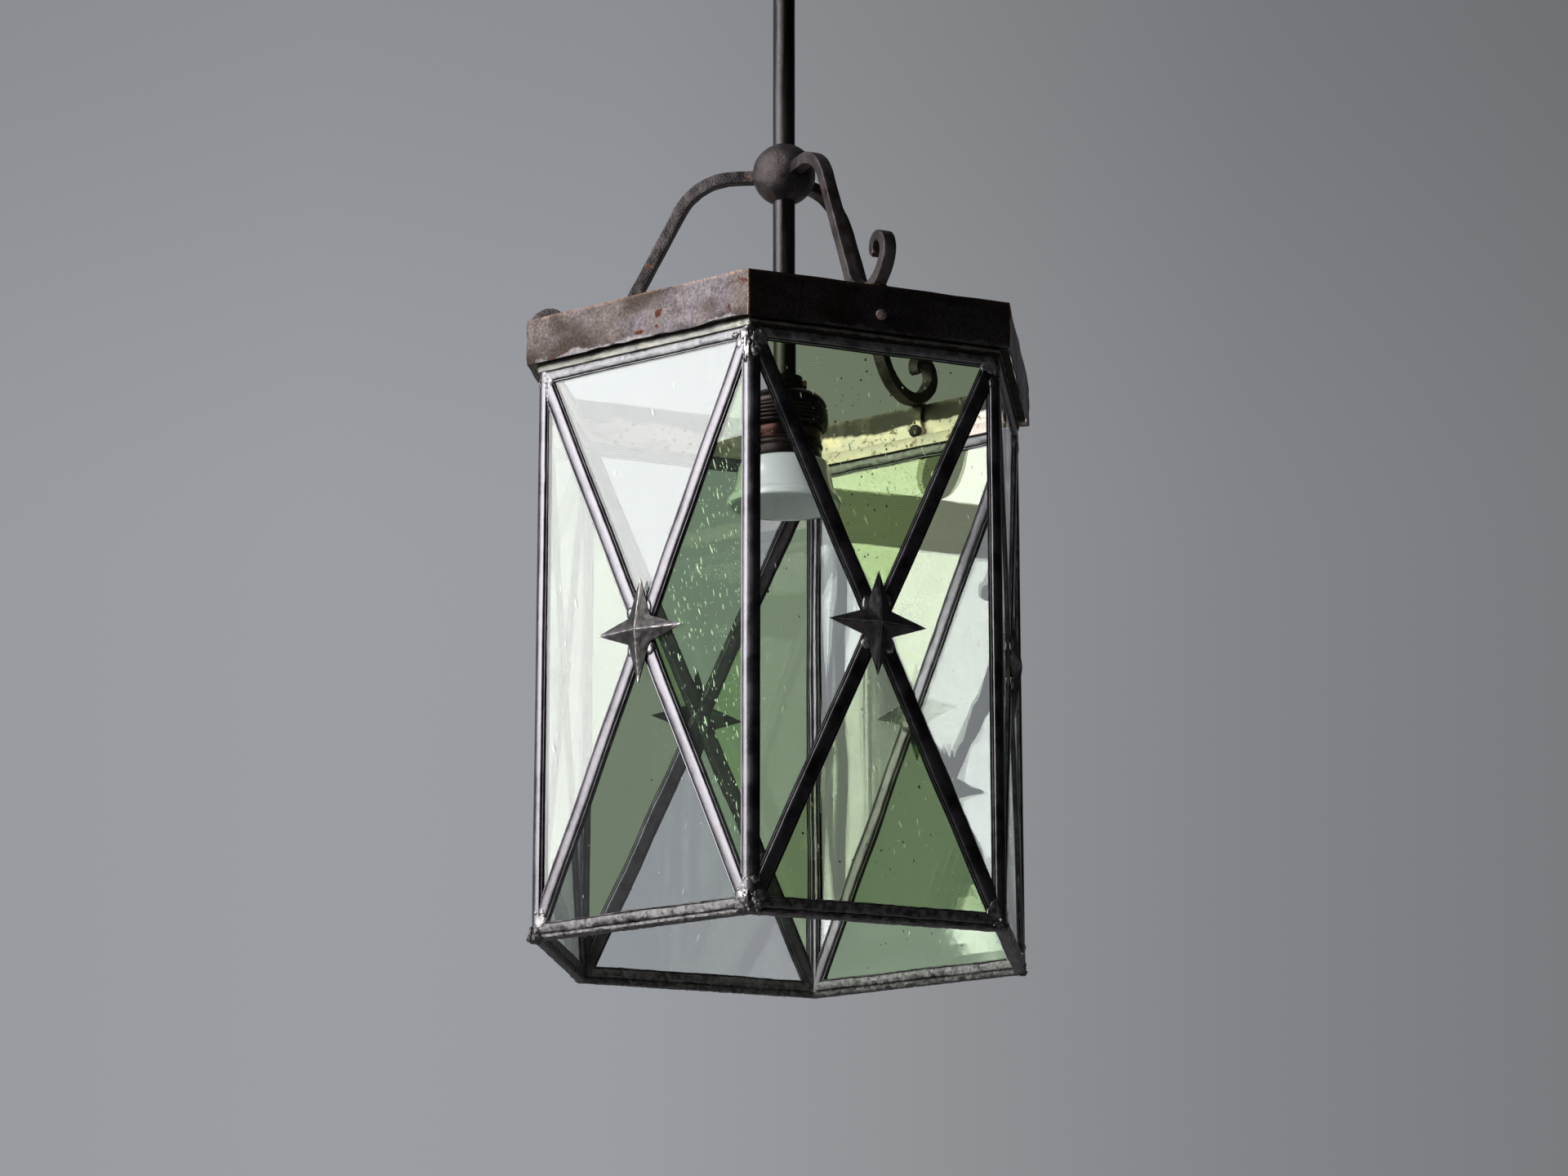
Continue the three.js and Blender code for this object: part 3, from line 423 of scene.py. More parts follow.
DARK_BRASS = metal("dark turned brass", "241d1c 38302e 45312a 746056", (0.22, 0.4), 70.0, spots=0.1,
                   marks=(60.0, 0.1), depth=0.15)
BRASS = metal("bright brass", "a58545 c2a25c 5e4520 e2c784", (0.2, 0.36), 120.0, spots=0.12, depth=0.12,
              metallic=0.95)
STEEL = metal("zinc steel", "5f6063 7b7c7f 4a3f36 a7a8aa", (0.32, 0.5), 90.0, spots=0.12, depth=0.15,
              metallic=0.85)

# Rust flecks on the band: middle, half width and half height, in mm
RUST_FLECKS = (((-99.5, -74.2, -309.5), 2.2, 2.8), ((-100.0, -73.3, -315.7), 1.5, 0.9),
               ((-105.7, -63.4, -316.9), 2.8, 1.3))


def fleck_mask(tree, at, middle, half_w, half_h, ragged):
    """1 inside a ragged fleck round a point of the band, 0 outside."""
    off = vectors(tree, "SUBTRACT", at, [v * MM for v in middle])
    off = vectors(tree, "MULTIPLY", off, (1 / (half_w * MM), 1 / (half_w * MM), 1 / (half_h * MM)))
    edge = maths(tree, "MULTIPLY_ADD", ragged, 2.4, vectors(tree, "LENGTH", off))
    return ranged(tree, edge, 2.25, 2.0, soft=True)


def band_patina():
    """Plum brown under pale lilac and straw clouds, sharp rust spots, copper on the edges, tin at the foot; the
    copper at the bends is partly a painted highlight.
    """
    material, tree, shader = new_material("band patina")
    at = place(tree)
    tone = mottled(tree, "39322f 565153 4a433c", 27.0, 0.12, stretch=1.3)
    broad = ranged(tree, clouds(tree, at, 26.0, 5.0, 0.6), 0.4, 0.62, soft=True)
    hued = blend(tree, 1.0, tone["Color"], blend(tree, broad, "efe8dc", "f9f8ff"), mode="MULTIPLY")
    rusty = mottled(tree, "000000 000000 ffffff", 34.0, 0.155, cloudy=0.0)["Spot Mask"]
    ragged = clouds(tree, at, 420.0, 3.0, 0.6)
    for middle, half_w, half_h in RUST_FLECKS:
        rusty = maths(tree, "MAXIMUM", rusty, fleck_mask(tree, at, middle, half_w, half_h, ragged))
    low = ranged(tree, carried(tree, "rise"), 0.0, 0.31, 1.0, 0.0)
    reach = maths(tree, "MULTIPLY_ADD", clouds(tree, at, 48.0, 4.0, 0.6), 2.6, -1.25)
    smear = ranged(tree, maths(tree, "ADD", reach, low), 0.88, 1.12, soft=True)
    tinned = blend(tree, smear, blend(tree, rusty, hued, "4a2a1f"), "6c6868")
    # Rubbed copper on the edges; along the bends it is partly a painted highlight
    worn = placed(tree, WORN, Color=tinned, Rubbed="7d6458", Dirt="1a1311", Rub=1.0, Scale=60.0)
    grain = ranged(tree, clouds(tree, at, 650.0, 4.0, 0.7), 0.32, 0.68, 0.5, 1.4)
    speckled = vectors(tree, "SCALE", worn["Color"], Scale=grain)
    gloss = ranged(tree, tone["Cloud Mask"], start=0.48, end=0.4)
    cover(tree, shader, speckled, maths(tree, "MULTIPLY_ADD", rusty, 0.15, gloss), 0.93, (70.0, 0.25),
          (700.0, 0.3), 0.3)
    return material


def band_inside():
    """Dark above, a speckled cream wash of tin below, with a wandering edge between."""
    material, tree, shader = new_material("band inside")
    tone = mottled(tree, "f0d8c4 fff2ea 93794f", 85.0, 0.23, cloudy=0.55)
    edge = maths(tree, "MULTIPLY_ADD", clouds(tree, place(tree), 38.0, 4.0, 0.6), 0.5, carried(tree, "rise"))
    mixed = blend(tree, ranged(tree, edge, 0.8, 0.86), tone["Color"], "4d4842")
    worn = placed(tree, WORN, Color=mixed, Rubbed="efe6cc", Dirt="4c3d22", Rub=0.3, Scale=130.0)
    cover(tree, shader, worn["Color"], ranged(tree, tone["Cloud Mask"], start=0.42, end=0.62), 0.7,
          (170.0, 0.5), (700.0, 0.3), 0.4)
    return material


def porcelain():
    material, tree, shader = new_material("porcelain")
    tone = mottled(tree, "f0f5f6 f6f9f9 c5cac4", 22.0, 0.02)
    worn = placed(tree, WORN, Color=tone["Color"], Rubbed="e6eaea", Dirt="8d928c", Rub=0.3)
    put(tree, shader, Coat_Weight=1.0, Coat_Roughness=0.03)
    cover(tree, shader, worn["Color"], 0.16, 0.0, (40.0, 0.15), (500.0, 0.03), 0.1)
    return material


def grit(name, tones, scale, spots, rough, glow=0.0):
    """The stuff of the small bubbles and specks in the glass: the pale seeds' glow is a painted glint, and the
    dark specks are seeds painted dark, as bubbles look against bright light.
    """
    material, tree, shader = new_material(name)
    tone = mottled(tree, tones, scale, spots)["Color"]
    put(tree, shader, Base_Color=tone, Roughness=rough)
    if glow:
        put(tree, shader, Emission_Color=tone, Emission_Strength=glow)
    return material


BAND_OUT, BAND_IN, PORCELAIN = band_patina(), band_inside(), porcelain()
# Painted glint: pale seeds that glow a little; and dark specks, which are seeds painted in shade
SEED_GLINT = grit("seed in the glass", "eef3ee ffffff b8c8b4", 300.0, 0.1, 0.2, glow=0.1)
SEED_SHADE = grit("seed painted dark in the glass", "1d1c15 2e2c20 0d0c09", 400.0, 0.2, 0.5)
GLASS = {
    "clear_glass": glass("clear glass", "f3f7f5", line=0.08),
    "pale_glass": glass("pale green glass", "e4ebe0", ripple=0.8, line=0.1, shade="f0f5f0"),
    "green_glass": glass("green glass", "bad6ad", ripple=0.6, line=0.04),
    "olive_glass": glass("olive glass", "d7e2c8", ripple=0.8, line=0.08),
}
MILKY = glass("pale flashed glass", "e8ebe8", ripple=0.8, line=0.1, bend=1.57)
THIN_GREEN = glass("thin green glass", "e6ece6")
OWN_GLASS = {
    (1, "top"): glass("smoky green glass", "c1d3ab"),
    (1, "bottom"): glass("sage glass", "c9d4b8"),
    (3, "top"): glass("flashed green glass", "d8e2ba", ripple=0.3, line=0.02, bend=1.66),
    (3, "bottom"): glass("leaf green glass", "d6f1c8", ripple=0.6, line=0.1, bend=1.6, haze=0.12),
    (3, "right"): MILKY, (3, "left"): MILKY,
    (4, "left"): glass("straw green glass", "daf1c4", ripple=0.6, line=0.04),
    (4, "right"): glass("moss green glass", "bacda4", ripple=0.6, line=0.04),
    (5, "right"): THIN_GREEN, (5, "left"): THIN_GREEN,
    (6, "top"): glass("dimmed clear glass", "d3d8d5", ripple=0.15, line=0.01, shade="f8faf9"),
}


def arc(radius, start, end, steps, high=None, x=0.0, z=0.0):
    """Points on an arc about (x, z), from start to end in degrees; high gives an ellipse its height."""
    turns = [math.radians(start + (end - start) * k / steps) for k in range(steps + 1)]
    return [(x + radius * math.cos(turn), z + (high or radius) * math.sin(turn)) for turn in turns]


# The leaded panels. A point is given as (across, outwards from the outer face, up from the middle).
def on_face(index):
    """From a panel's own place to the lantern's."""
    base = Matrix(((1, 0, 0, 0), (0, -1, 0, -BODY_FACE), (0, 0, 1, PANEL_MIDDLE), (0, 0, 0, 1)))
    return Matrix.Rotation((index - 1) * TURN, 4, "Z") @ base


HALF_W, HALF_H = BODY_R / 2, PANEL_H / 2
LIGHT_W, LIGHT_H = HALF_W - EDGE_W, HALF_H - EDGE_W
CROSS_X, CROSS_Z = HALF_W - EDGE_W / 2, HALF_H - EDGE_W / 2
CROSS_L = math.hypot(CROSS_X, CROSS_Z)
# The four lights of a face: which way its two bars run, then the way to its border and how far off it is
LIGHTS = {"top": ((1, 1), (0, 1, LIGHT_H)), "right": ((-1, 1), (1, 0, LIGHT_W)),
          "bottom": ((-1, -1), (0, -1, LIGHT_H)), "left": ((1, -1), (-1, 0, LIGHT_W))}


def meet(first, second):
    """Where two lines meet, each given as (a, b, c) with ax + bz = c."""
    (a, b, c), (d, e, f) = first, second
    det = a * e - b * d
    return Vector(((c * e - b * f) / det, (a * f - c * d) / det))


def light_outline(side, grow):
    """The three corners of a light, with its edges moved outwards by grow."""
    (s, t), (ex, ez, reach) = LIGHTS[side]
    bar = grow - CROSS_W / 2
    rising = (s * CROSS_Z / CROSS_L, -s * CROSS_X / CROSS_L, bar)
    falling = (-t * CROSS_Z / CROSS_L, -t * CROSS_X / CROSS_L, bar)
    border = (ex, ez, reach + grow)
    corners = [meet(rising, falling), meet(falling, border), meet(border, rising)]
    turn = (corners[1] - corners[0]).cross(corners[2] - corners[0])
    return corners if turn > 0 else corners[::-1]


# Half sections of the lead, from the glass outwards, in mm: across, height over the face, crest
LIP = [(0.0, -1.7, 0.1), (0.0, -1.05, 0.5), (0.25, -0.85, 0.95), (0.6, -0.9, 0.7), (0.8, -1.2, 0.0)]
CORE = [(0.98, -0.8, 0.4), (1.3, -0.42, 1.0), (1.9, -0.18, 1.0), (2.8, -0.04, 1.0)]
HALF_CROSS = [(u - 4.25, h, c) for u, h, c in LIP + CORE]
CROSS_SECTION = HALF_CROSS + [(0.0, 0.04, 1.05)] + [(-u, h, c) for u, h, c in reversed(HALF_CROSS)]
FLAT_SECTION = LIP + [(1.0, -0.7, 0.4), (1.2, -0.3, 1.0), (1.7, -0.1, 1.0), (3.2, 0.0, 1.0), (5.0, -0.05, 1.0),
                      (5.6, -0.25, 0.9), (5.9, -0.6, 0.5)]
SIDE_SECTION = LIP + [(1.0, -0.7, 0.4), (1.25, -0.3, 1.0), (1.8, -0.08, 1.0), (3.0, 0.0, 1.0),
                      (4.0, -0.02, 1.0), (4.35, -0.1, 1.1), (5.57, -0.78, 0.9)]
CAME_STEP, LUMPY_STEP = 6 * MM, 1.3 * MM


def came(shape, start, end, section, seed, across=None, stray=0.22, lumps=0.0, back=1.0, finish=0):
    """A strip of lead from start to end in the panel's plane; across points from the glass to its back.
    It strays by stray mm, has lumps this many mm high, and back scales the crest of its rear side."""
    start, end, out = Vector(start), Vector(end), Vector((0, 1, 0))
    along = (end - start).normalized()
    across = Vector(across or (along.z, 0, -along.x))
    depth = -CAME_DEPTH / MM
    ring = section + [(u, depth - h, c * back) for u, h, c in reversed(section)]
    if across.cross(out).dot(along) < 0:
        ring = ring[::-1]
    steps = max(8, int((end - start).length / (LUMPY_STEP if lumps else CAME_STEP)))
    sway, lift, swell = (wander(seed * 10 + k, size * stray, 5) for k, size in ((1, 1.0), (2, 0.35), (3, 0.3)))
    stations = []
    for i in range(steps + 1):
        share = i / steps
        fade = min(1, 6 * share, 6 * (1 - share))
        middle = start.lerp(end, share) + across * (sway(share) * fade * MM) + out * (lift(share) * fade * MM)
        station = []
        for u, h, crest in ring:
            rise = h + (swell(share * 1.7 + u * 0.11) if h > -2 else 0) * (1 if h > -0.7 else 0.3)
            spot = middle + across * (u * MM) + out * (rise * MM)
            lump = lumps * noise.noise(spot * 330 + Vector((seed, 0, 0))) * fade * MM
            station.append((spot + across * (0.7 * lump) + out * (lump * (1 if h > -2.7 else -1)), crest))
        stations.append(station)
    swept(shape, stations, finish)


# Drips of solder down a corner: (across, up from the middle, half width, half height), in mm
DRIPS = {6: ((65.5, 134.5, 2.0, 8.5), (63.8, 140.6, 3.0, 2.6), (66.2, 141.5, 1.6, 2.6), (64.6, 130.0, 1.0, 4.2),
             (58.5, 140.8, 2.4, 1.6), (65.8, -139.0, 1.8, 3.6))}


def panel_frame(index):
    """A face's lead: two crossing bars, each in two halves, four edge strips, and their solder."""
    shape, seed = Shape(), index * 100
    for k, (sx, sz) in enumerate(((1, 1), (-1, 1), (1, -1), (-1, -1))):
        sunk = -0.1 * MM * (k % 2)
        came(shape, (0, sunk, 0), (sx * CROSS_X, sunk, sz * CROSS_Z), CROSS_SECTION, seed + k)
    for k, side in enumerate((1, -1)):
        came(shape, (side * LIGHT_W, 0, -HALF_H), (side * LIGHT_W, 0, HALF_H), SIDE_SECTION, seed + 5 + k,
             across=(side, 0, 0), stray=0.1)
    for k, (side, stray, lumps, back) in enumerate(((1, 0.14, 0.14, 0.9), (-1, 0.35, 0.55, 0.55))):
        came(shape, (-CROSS_X, 0, side * LIGHT_H), (CROSS_X, 0, side * LIGHT_H), FLAT_SECTION, seed + 8 + k,
             across=(0, 0, side), stray=stray, lumps=lumps, back=back, finish=3 - k)
    pick = np.random.default_rng(seed).uniform
    # A lump at each corner with smaller ones round it, then the drips, the solder that shows between the
    # star's points, and the solder behind the crossing
    for sx in (1, -1):
        for sz in (1, -1):
            x, z = sx * (HALF_W - 5.2 * MM), sz * (HALF_H - 5.4 * MM)
            blob(shape, (x, -1.0 * MM, z), (pick(4.0, 5.2) * MM, 1.35 * MM, pick(4.6, 6.4) * MM),
                 seed + sx + 2 * sz, sides=18, rings=12)
            for _ in range(7):
                spot = (x + pick(-2.2, 3.0) * sx * MM, pick(-0.9, -0.3) * MM, z - sz * pick(-3.5, 9) * MM)
                blob(shape, spot, (pick(0.9, 2.1) * MM, 0.8 * MM, pick(1.2, 3.6) * MM), pick(0, 50), rough=0.45,
                     sides=12, rings=8)
    for x, z, wide, high in DRIPS.get(index, ()):
        blob(shape, (x * MM, -0.35 * MM, z * MM), (wide * MM, 1.7 * MM, high * MM), seed + x + z, rough=0.4,
             sides=18, rings=14, crest=1.5)
    for turn in (0.6, 2.4, 3.9, 5.5):
        reach = pick(12.6, 14.6) * MM
        blob(shape, (reach * math.sin(turn) * 0.62, -0.3 * MM, reach * math.cos(turn)),
             (pick(2.2, 3.2) * MM, 1.3 * MM, pick(2.5, 4.2) * MM), seed + turn)
    for _ in range(6):
        spot = (pick(-2.5, 2.5) * MM, -CAME_DEPTH - 0.1 * MM, pick(-8, 8) * MM)
        blob(shape, spot, (pick(2, 3.6) * MM, 1.1 * MM, pick(3, 5) * MM), pick(0, 50), rough=0.45)
    shape.move(on_face(index))
    shape.piece(f"lead_frame_{index}", "lantern", [LEAD, SOLDER, DULL_SOLDER, GREY_LEAD], "lead_came",
                f"panel_frame_{index}", sharp=38)


# How a pane leans in its lead, in degrees about the upright and the level line
LEAN = {(6, "right"): (0.5, 0.2), (6, "bottom"): (-0.4, 0.3), (1, "top"): (0.3, -0.3)}
# How far a pane's surface turns from the lamp, in degrees. Two panes do so in one part only: past the rim
# of a glow at a corner, and beyond an upright line, both with a soft edge.
DROOP = {(3, "bottom"): -9.0, (3, "right"): -9.0, (6, "right"): 9.0, (6, "bottom"): 9.0}
GLOW_X, GLOW_Z, GLOW_R, GLOW_EDGE, GLOW_FLAT_Z = -50 * MM, -116 * MM, 19 * MM, 28 * MM, -125 * MM
BEND_X, BEND_EDGE = 27 * MM, 4 * MM


def lean_height(index, side, x, z):
    """Height of a pane's slow bend off its flat, for a bump without a real edge."""
    slope = math.tan(math.radians(DROOP.get((index, side), 0)))
    if (index, side) == (3, "bottom"):
        share = min(1.0, max(0.0, (math.hypot(x - GLOW_X, z - GLOW_Z) - GLOW_R) / GLOW_EDGE))
        return slope * (z - GLOW_FLAT_Z) * share * share * (3 - 2 * share)
    if (index, side) == (3, "right"):
        past = (BEND_X - x) / BEND_EDGE
        return slope * BEND_EDGE * (past if past > 8 else math.log1p(math.exp(past)))
    return slope * z


# Pale seeds with a painted glint, and dark specks, which are seeds painted dark as bubbles look against bright
# light, in the panes that have many
SEEDS = {(6, "right"): 340, (1, "top"): 70, (1, "bottom"): 45, (6, "left"): 26, (1, "right"): 10}
SHADED_SEEDS = {(1, "top"): 150, (3, "bottom"): 40, (1, "bottom"): 40, (1, "left"): 6, (6, "bottom"): 6}
FEW_SEEDS, SEED_R, SHADED_SEED_R = 7, 0.18 * MM, 0.24 * MM


def pane(index, side, slot):
    """A wavy pane with its seeds and specks, leaning a little in its lead; the seeds' glow is a painted glint
    and the dark specks are painted shade.
    """
    shape = Shape()
    rng = np.random.default_rng(index * 17 + len(side) * 5 + ord(side[0]))
    corners = light_outline(side, 1.3 * MM)
    middle, core = sum(corners, Vector((0, 0))) / 3, -CAME_DEPTH / 2
    along, aside = corners[1] - corners[0], corners[2] - corners[0]
    # Its two faces are triangular grids, the outer one first, with a strip of rim between them
    count, at, points, faces = 22, {}, [], []
    for layer, out in enumerate((GLASS_T / 2, -GLASS_T / 2)):
        for i in range(count + 1):
            for j in range(count + 1 - i):
                at[layer, i, j] = len(points)
                flat = corners[0] + along * (i / count) + aside * (j / count)
                wave = noise.noise(Vector((flat.x, flat.y * 0.6, index + 0.3 * layer)) * 34.0) * 0.05 * MM
                points.append((flat.x, core + out + wave, flat.y))
    for i in range(count):
        for j in range(count - i):
            both = (((i, j), (i + 1, j), (i, j + 1)), ((i + 1, j), (i + 1, j + 1), (i, j + 1)))
            for layer in (0, 1):
                for three in both[:2 if i + j < count - 1 else 1]:
                    faces.append([at[layer, a, b] for a, b in (three if layer else three[::-1])])
    rim = [(k, 0) for k in range(count)] + [(count - k, k) for k in range(count)]
    rim += [(0, count - k) for k in range(count + 1)]
    for near, far in zip(rim, rim[1:]):
        faces.append((at[0, *near], at[0, *far], at[1, *far], at[1, *near]))
    shape.add(points, faces)

    def spot():
        """A random place inside the pane."""
        a, b = sorted(rng.uniform(0.03, 0.97, 2))
        return corners[0] * a + corners[1] * (b - a) + corners[2] * (1 - b)
    for _ in range(SEEDS.get((index, side), FEW_SEEDS)):
        flat = middle + (spot() - middle) * 0.93
        size = SEED_R * min(2.6, rng.lognormal(0, 0.5))
        which = blob(shape, (0, 0, 0), (size, size, size * rng.uniform(1.5, 7)), rng.uniform(0, 9), rough=0.05,
                     sides=7, rings=6)
        lean = Matrix.Rotation(rng.normal(-0.25, 0.12), 4, "Y")
        shape.move(Matrix.Translation((flat.x, core + rng.uniform(-0.7, 0.8) * MM, flat.y)) @ lean, which)
    # Dark specks: seeds painted dark, as bubbles look against bright light (painted shade)
    for _ in range(SHADED_SEEDS.get((index, side), 0)):
        flat = spot()
        size = SHADED_SEED_R * min(2.4, rng.lognormal(0, 0.5))
        inside = (flat.x, core + rng.uniform(-0.6, 0.6) * MM, flat.y)
        blob(shape, inside, (size, size, size * rng.uniform(0.8, 1.6)), rng.uniform(0, 9), rough=0.3, sides=7,
             rings=6, finish=2)
    upright, level = LEAN.get((index, side), rng.uniform(-0.25, 0.25, 2))
    hold = Matrix.Translation((middle.x, core, middle.y))
    tilt = Matrix.Rotation(math.radians(upright), 4, "Z") @ Matrix.Rotation(math.radians(level), 4, "X")
    shape.carry("lean", lambda p: lean_height(index, side, p.x, p.z) * (1 if p.y > core else -1))
    shape.move(on_face(index) @ hold @ tilt @ hold.inverted())
    own = OWN_GLASS.get((index, side), GLASS[slot])
    shape.piece(f"glass_{index}_{side}", "lantern", [own, SEED_GLINT, SEED_SHADE], slot, f"pane_{index}_{side}", sharp=50)


def star(index):
    """Four ridged points; each facet is a small grid, worn bright along the ridges and the rim."""
    shape = Shape()
    rng = np.random.default_rng(index * 31)
    back, top, steps, strips = GAP, GAP + STAR_H, 14, 6
    rim = []
    for i in range(8):
        reach, turn = STAR_WAIST_R if i % 2 else STAR_R * rng.uniform(0.97, 1.0), i * math.pi / 4
        rim.append(Vector((reach * math.sin(turn), 0, reach * math.cos(turn))))
    points, crest, rows = [], [], []
    for i in range(8):
        for share in (k / strips for k in range(strips)):
            edge = rim[i].lerp(rim[(i + 1) % 8], share)
            off_ridge = abs(share - i % 2)
            rows.append(range(len(points), len(points) + steps + 1))
            for t in (j / steps for j in range(steps + 1)):
                flat = edge * t
                soften = 0.35 * MM * max(0.0, 1 - off_ridge * t * 14) * (1 if t < 0.97 else 0)
                beat = 0.07 * MM * noise.noise(flat * 260 + Vector((index, 0, 0)))
                height = top - (top - back - STAR_RIM_H) * t - soften + beat * (1 - t)
                points.append((flat.x, height, flat.z))
                crest.append(0.72 + 0.75 * max(0.0, 1 - off_ridge * t * 9) + (0.25 if t > 0.95 else 0))
    # Facets between neighbouring rows, then the rim's wall and the flat back
    base, sides, faces = len(points), len(rows), []
    for a, b in zip(rows, rows[1:] + rows[:1]):
        faces.append((a[0], b[1], a[1]))
        faces += [(a[j], b[j], b[j + 1], a[j + 1]) for j in range(1, steps)]
    points += [(points[row[-1]][0], back, points[row[-1]][2]) for row in rows] + [(0, back, 0)]
    crest += [0.4] * (sides + 1)
    for k, row in enumerate(rows):
        n = (k + 1) % sides
        faces += [(row[-1], rows[n][-1], base + n, base + k), (base + k, base + n, base + sides)]
    shape.add(points, faces, 0, crest)
    shape.move(on_face(index) @ Matrix.Rotation(rng.normal(0, 0.02), 4, "Y"))
    shape.piece(f"cast_star_{index}", "lantern", [PEWTER], "pewter_star", f"star_{index}", sharp=24)


# The band and the two rims
def hex_loop(face, steps, corner):
    """Points and outward directions round a hexagon whose faces lie at a distance, its corners rounded."""
    half, cut = face * math.tan(TURN / 2), corner * math.tan(TURN / 2)
    loop = []
    for index in range(FACES):
        turn = Matrix.Rotation(index * TURN, 3, "Z")
        for k in range(steps + 1):
            x = -half + cut + 2 * (half - cut) * k / steps
            loop.append((turn @ Vector((x, -face, 0)), turn @ Vector((0, -1, 0))))
        for k in range(1, 4):
            away = turn @ Matrix.Rotation(TURN * k / 4, 3, "Z") @ Vector((0, -1, 0))
            loop.append((turn @ Vector((half - cut, -face + corner, 0)) + away * corner, away))
    return loop


def hex_bar(shape, face, section, corner, wave, steps=60, finish=0, bend_rub_and_highlight=0.0, painted_shade=0.0):
    """A closed hexagonal hoop of a section of (out, z, crest) in mm from the face; wave moves a point.
    At the bends the crest is raised to at least a given value: rubbed copper that is partly a painted
    highlight.
    On the first two faces, which turn away from the lamp, crest is taken off as painted shade, less where it is
    high, so a ridge keeps a thin painted highlight."""
    loop = hex_loop(face, steps, corner * MM)
    stations = []
    for k, (point, away) in enumerate(loop):
        station = []
        for i, (out, z, crest) in enumerate(section):
            move_out, move_z = wave(k / len(loop), i)
            spot = point + away * ((out + move_out) * MM)
            # At the bends: rubbed copper, partly a painted highlight
            crest = max(crest, bend_rub_and_highlight) if k % (steps + 4) > steps else crest
            # Painted shade on the first two faces, away from the lamp; high crests lose less and keep a thin
            # painted highlight
            crest -= painted_shade * (0.55 if crest > 1 else 1) if k <= 2 * steps + 4 else 0
            station.append((Vector((spot.x, spot.y, (z + move_z) * MM)), crest))
        stations.append(station)
    swept(shape, stations, finish, closed=True)


def loop_wave(seed, size, waves):
    """A smooth stray that closes on itself round the hoop."""
    rng = np.random.default_rng(seed)
    parts = [(rng.normal(0, 1), rng.uniform(0, math.tau), k) for k in rng.integers(3, waves, 16)]
    return lambda share: size * sum(a * math.sin(math.tau * k * share + p) for a, p, k in parts) / 4


def band_rise(point):
    """How far up the band a corner stands: 0 at its foot, 1 at its top."""
    return (point.z - BAND_FOOT) / (BAND_TOP - BAND_FOOT)


def top_band():
    """The dented band; its foot is jagged, its top nearly straight."""
    shape = Shape()
    top, foot, wall, rows = BAND_TOP / MM, BAND_FOOT / MM, BAND_WALL / MM, 7
    outer = [(-0.25 if k in (0, rows) else 0.0, top + (foot - top) * k / rows, 0.95 if k else 1.4)
             for k in range(rows + 1)]
    section = outer + [(-wall - out, z, crest) for out, z, crest in reversed(outer)]
    foot_wave, foot_jag, top_wave = loop_wave(5, 0.8, 34), loop_wave(6, 0.35, 90), loop_wave(8, 0.12, 40)
    dent = [loop_wave(20 + k, 0.28, 34) for k in range(rows + 1)]

    def wave(share, i):
        row = min(i, 2 * rows + 1 - i)
        down = row / rows
        rise = max(0, foot_wave(share) + foot_jag(share)) * down ** 6 + top_wave(share) * (1 - down) ** 3
        return dent[row](share) * 0.8, rise
    # The band's bends are worn bright: rubbed copper, partly a painted highlight
    hex_bar(shape, BAND_FACE, section, 1.4, wave, finish=[0] * (rows + 1) + [1] * rows + [0], bend_rub_and_highlight=1.75)
    shape.carry("rise", band_rise)
    shape.piece("aged_band_hoop", "lantern", [BAND_OUT, BAND_IN], "aged_band", "top_band")


def top_rim():
    """The pale bead under the band, with the ledge behind it."""
    shape = Shape()
    ledge, top, foot = LEDGE_TOP / MM, BEAD_TOP / MM, BEAD_FOOT / MM
    reach = (BAND_FACE - BAND_WALL - GAP - BODY_FACE) / MM
    lift = loop_wave(31, 0.16, 60)
    section = [(reach - 0.2, ledge, 0.9), (reach, ledge - 0.4, 0.9), (reach, top + 0.2, 0.8), (0.4, top, 0.1),
               (0.1, top - 0.5, 0.1), (0.45, top - 1.4, 0.9), (0.62, top - 2.6, 1.1), (0.5, foot + 0.7, 1.0),
               (0.3, foot - 0.05, 0.8), (-0.5, foot - 0.2, 0.4), (-5.0, foot, 0.5), (-5.5, foot + 0.5, 0.8),
               (-5.5, ledge - 0.4, 0.6), (-5.2, ledge, 0.8)]

    def wave(share, i):
        return lift(share) * (1 if 3 < i < 9 else 0.2), 0.5 * lift(share + 0.3) if 4 < i < 9 else 0
    finish = [2 if i > 10 else 1 if i > 8 or i < 2 else 0 for i in range(len(section))]
    # The bead and ledge are darkened on the two faces away from the lamp: painted shade
    hex_bar(shape, BODY_FACE, section, 0.8, wave, finish=finish, painted_shade=0.95)
    shape.carry("rise", 0.0)
    shape.piece("bead_and_ledge", "lantern", [BEAD, DULL_SOLDER, BAND_IN], "pale_bead", "top_rim")


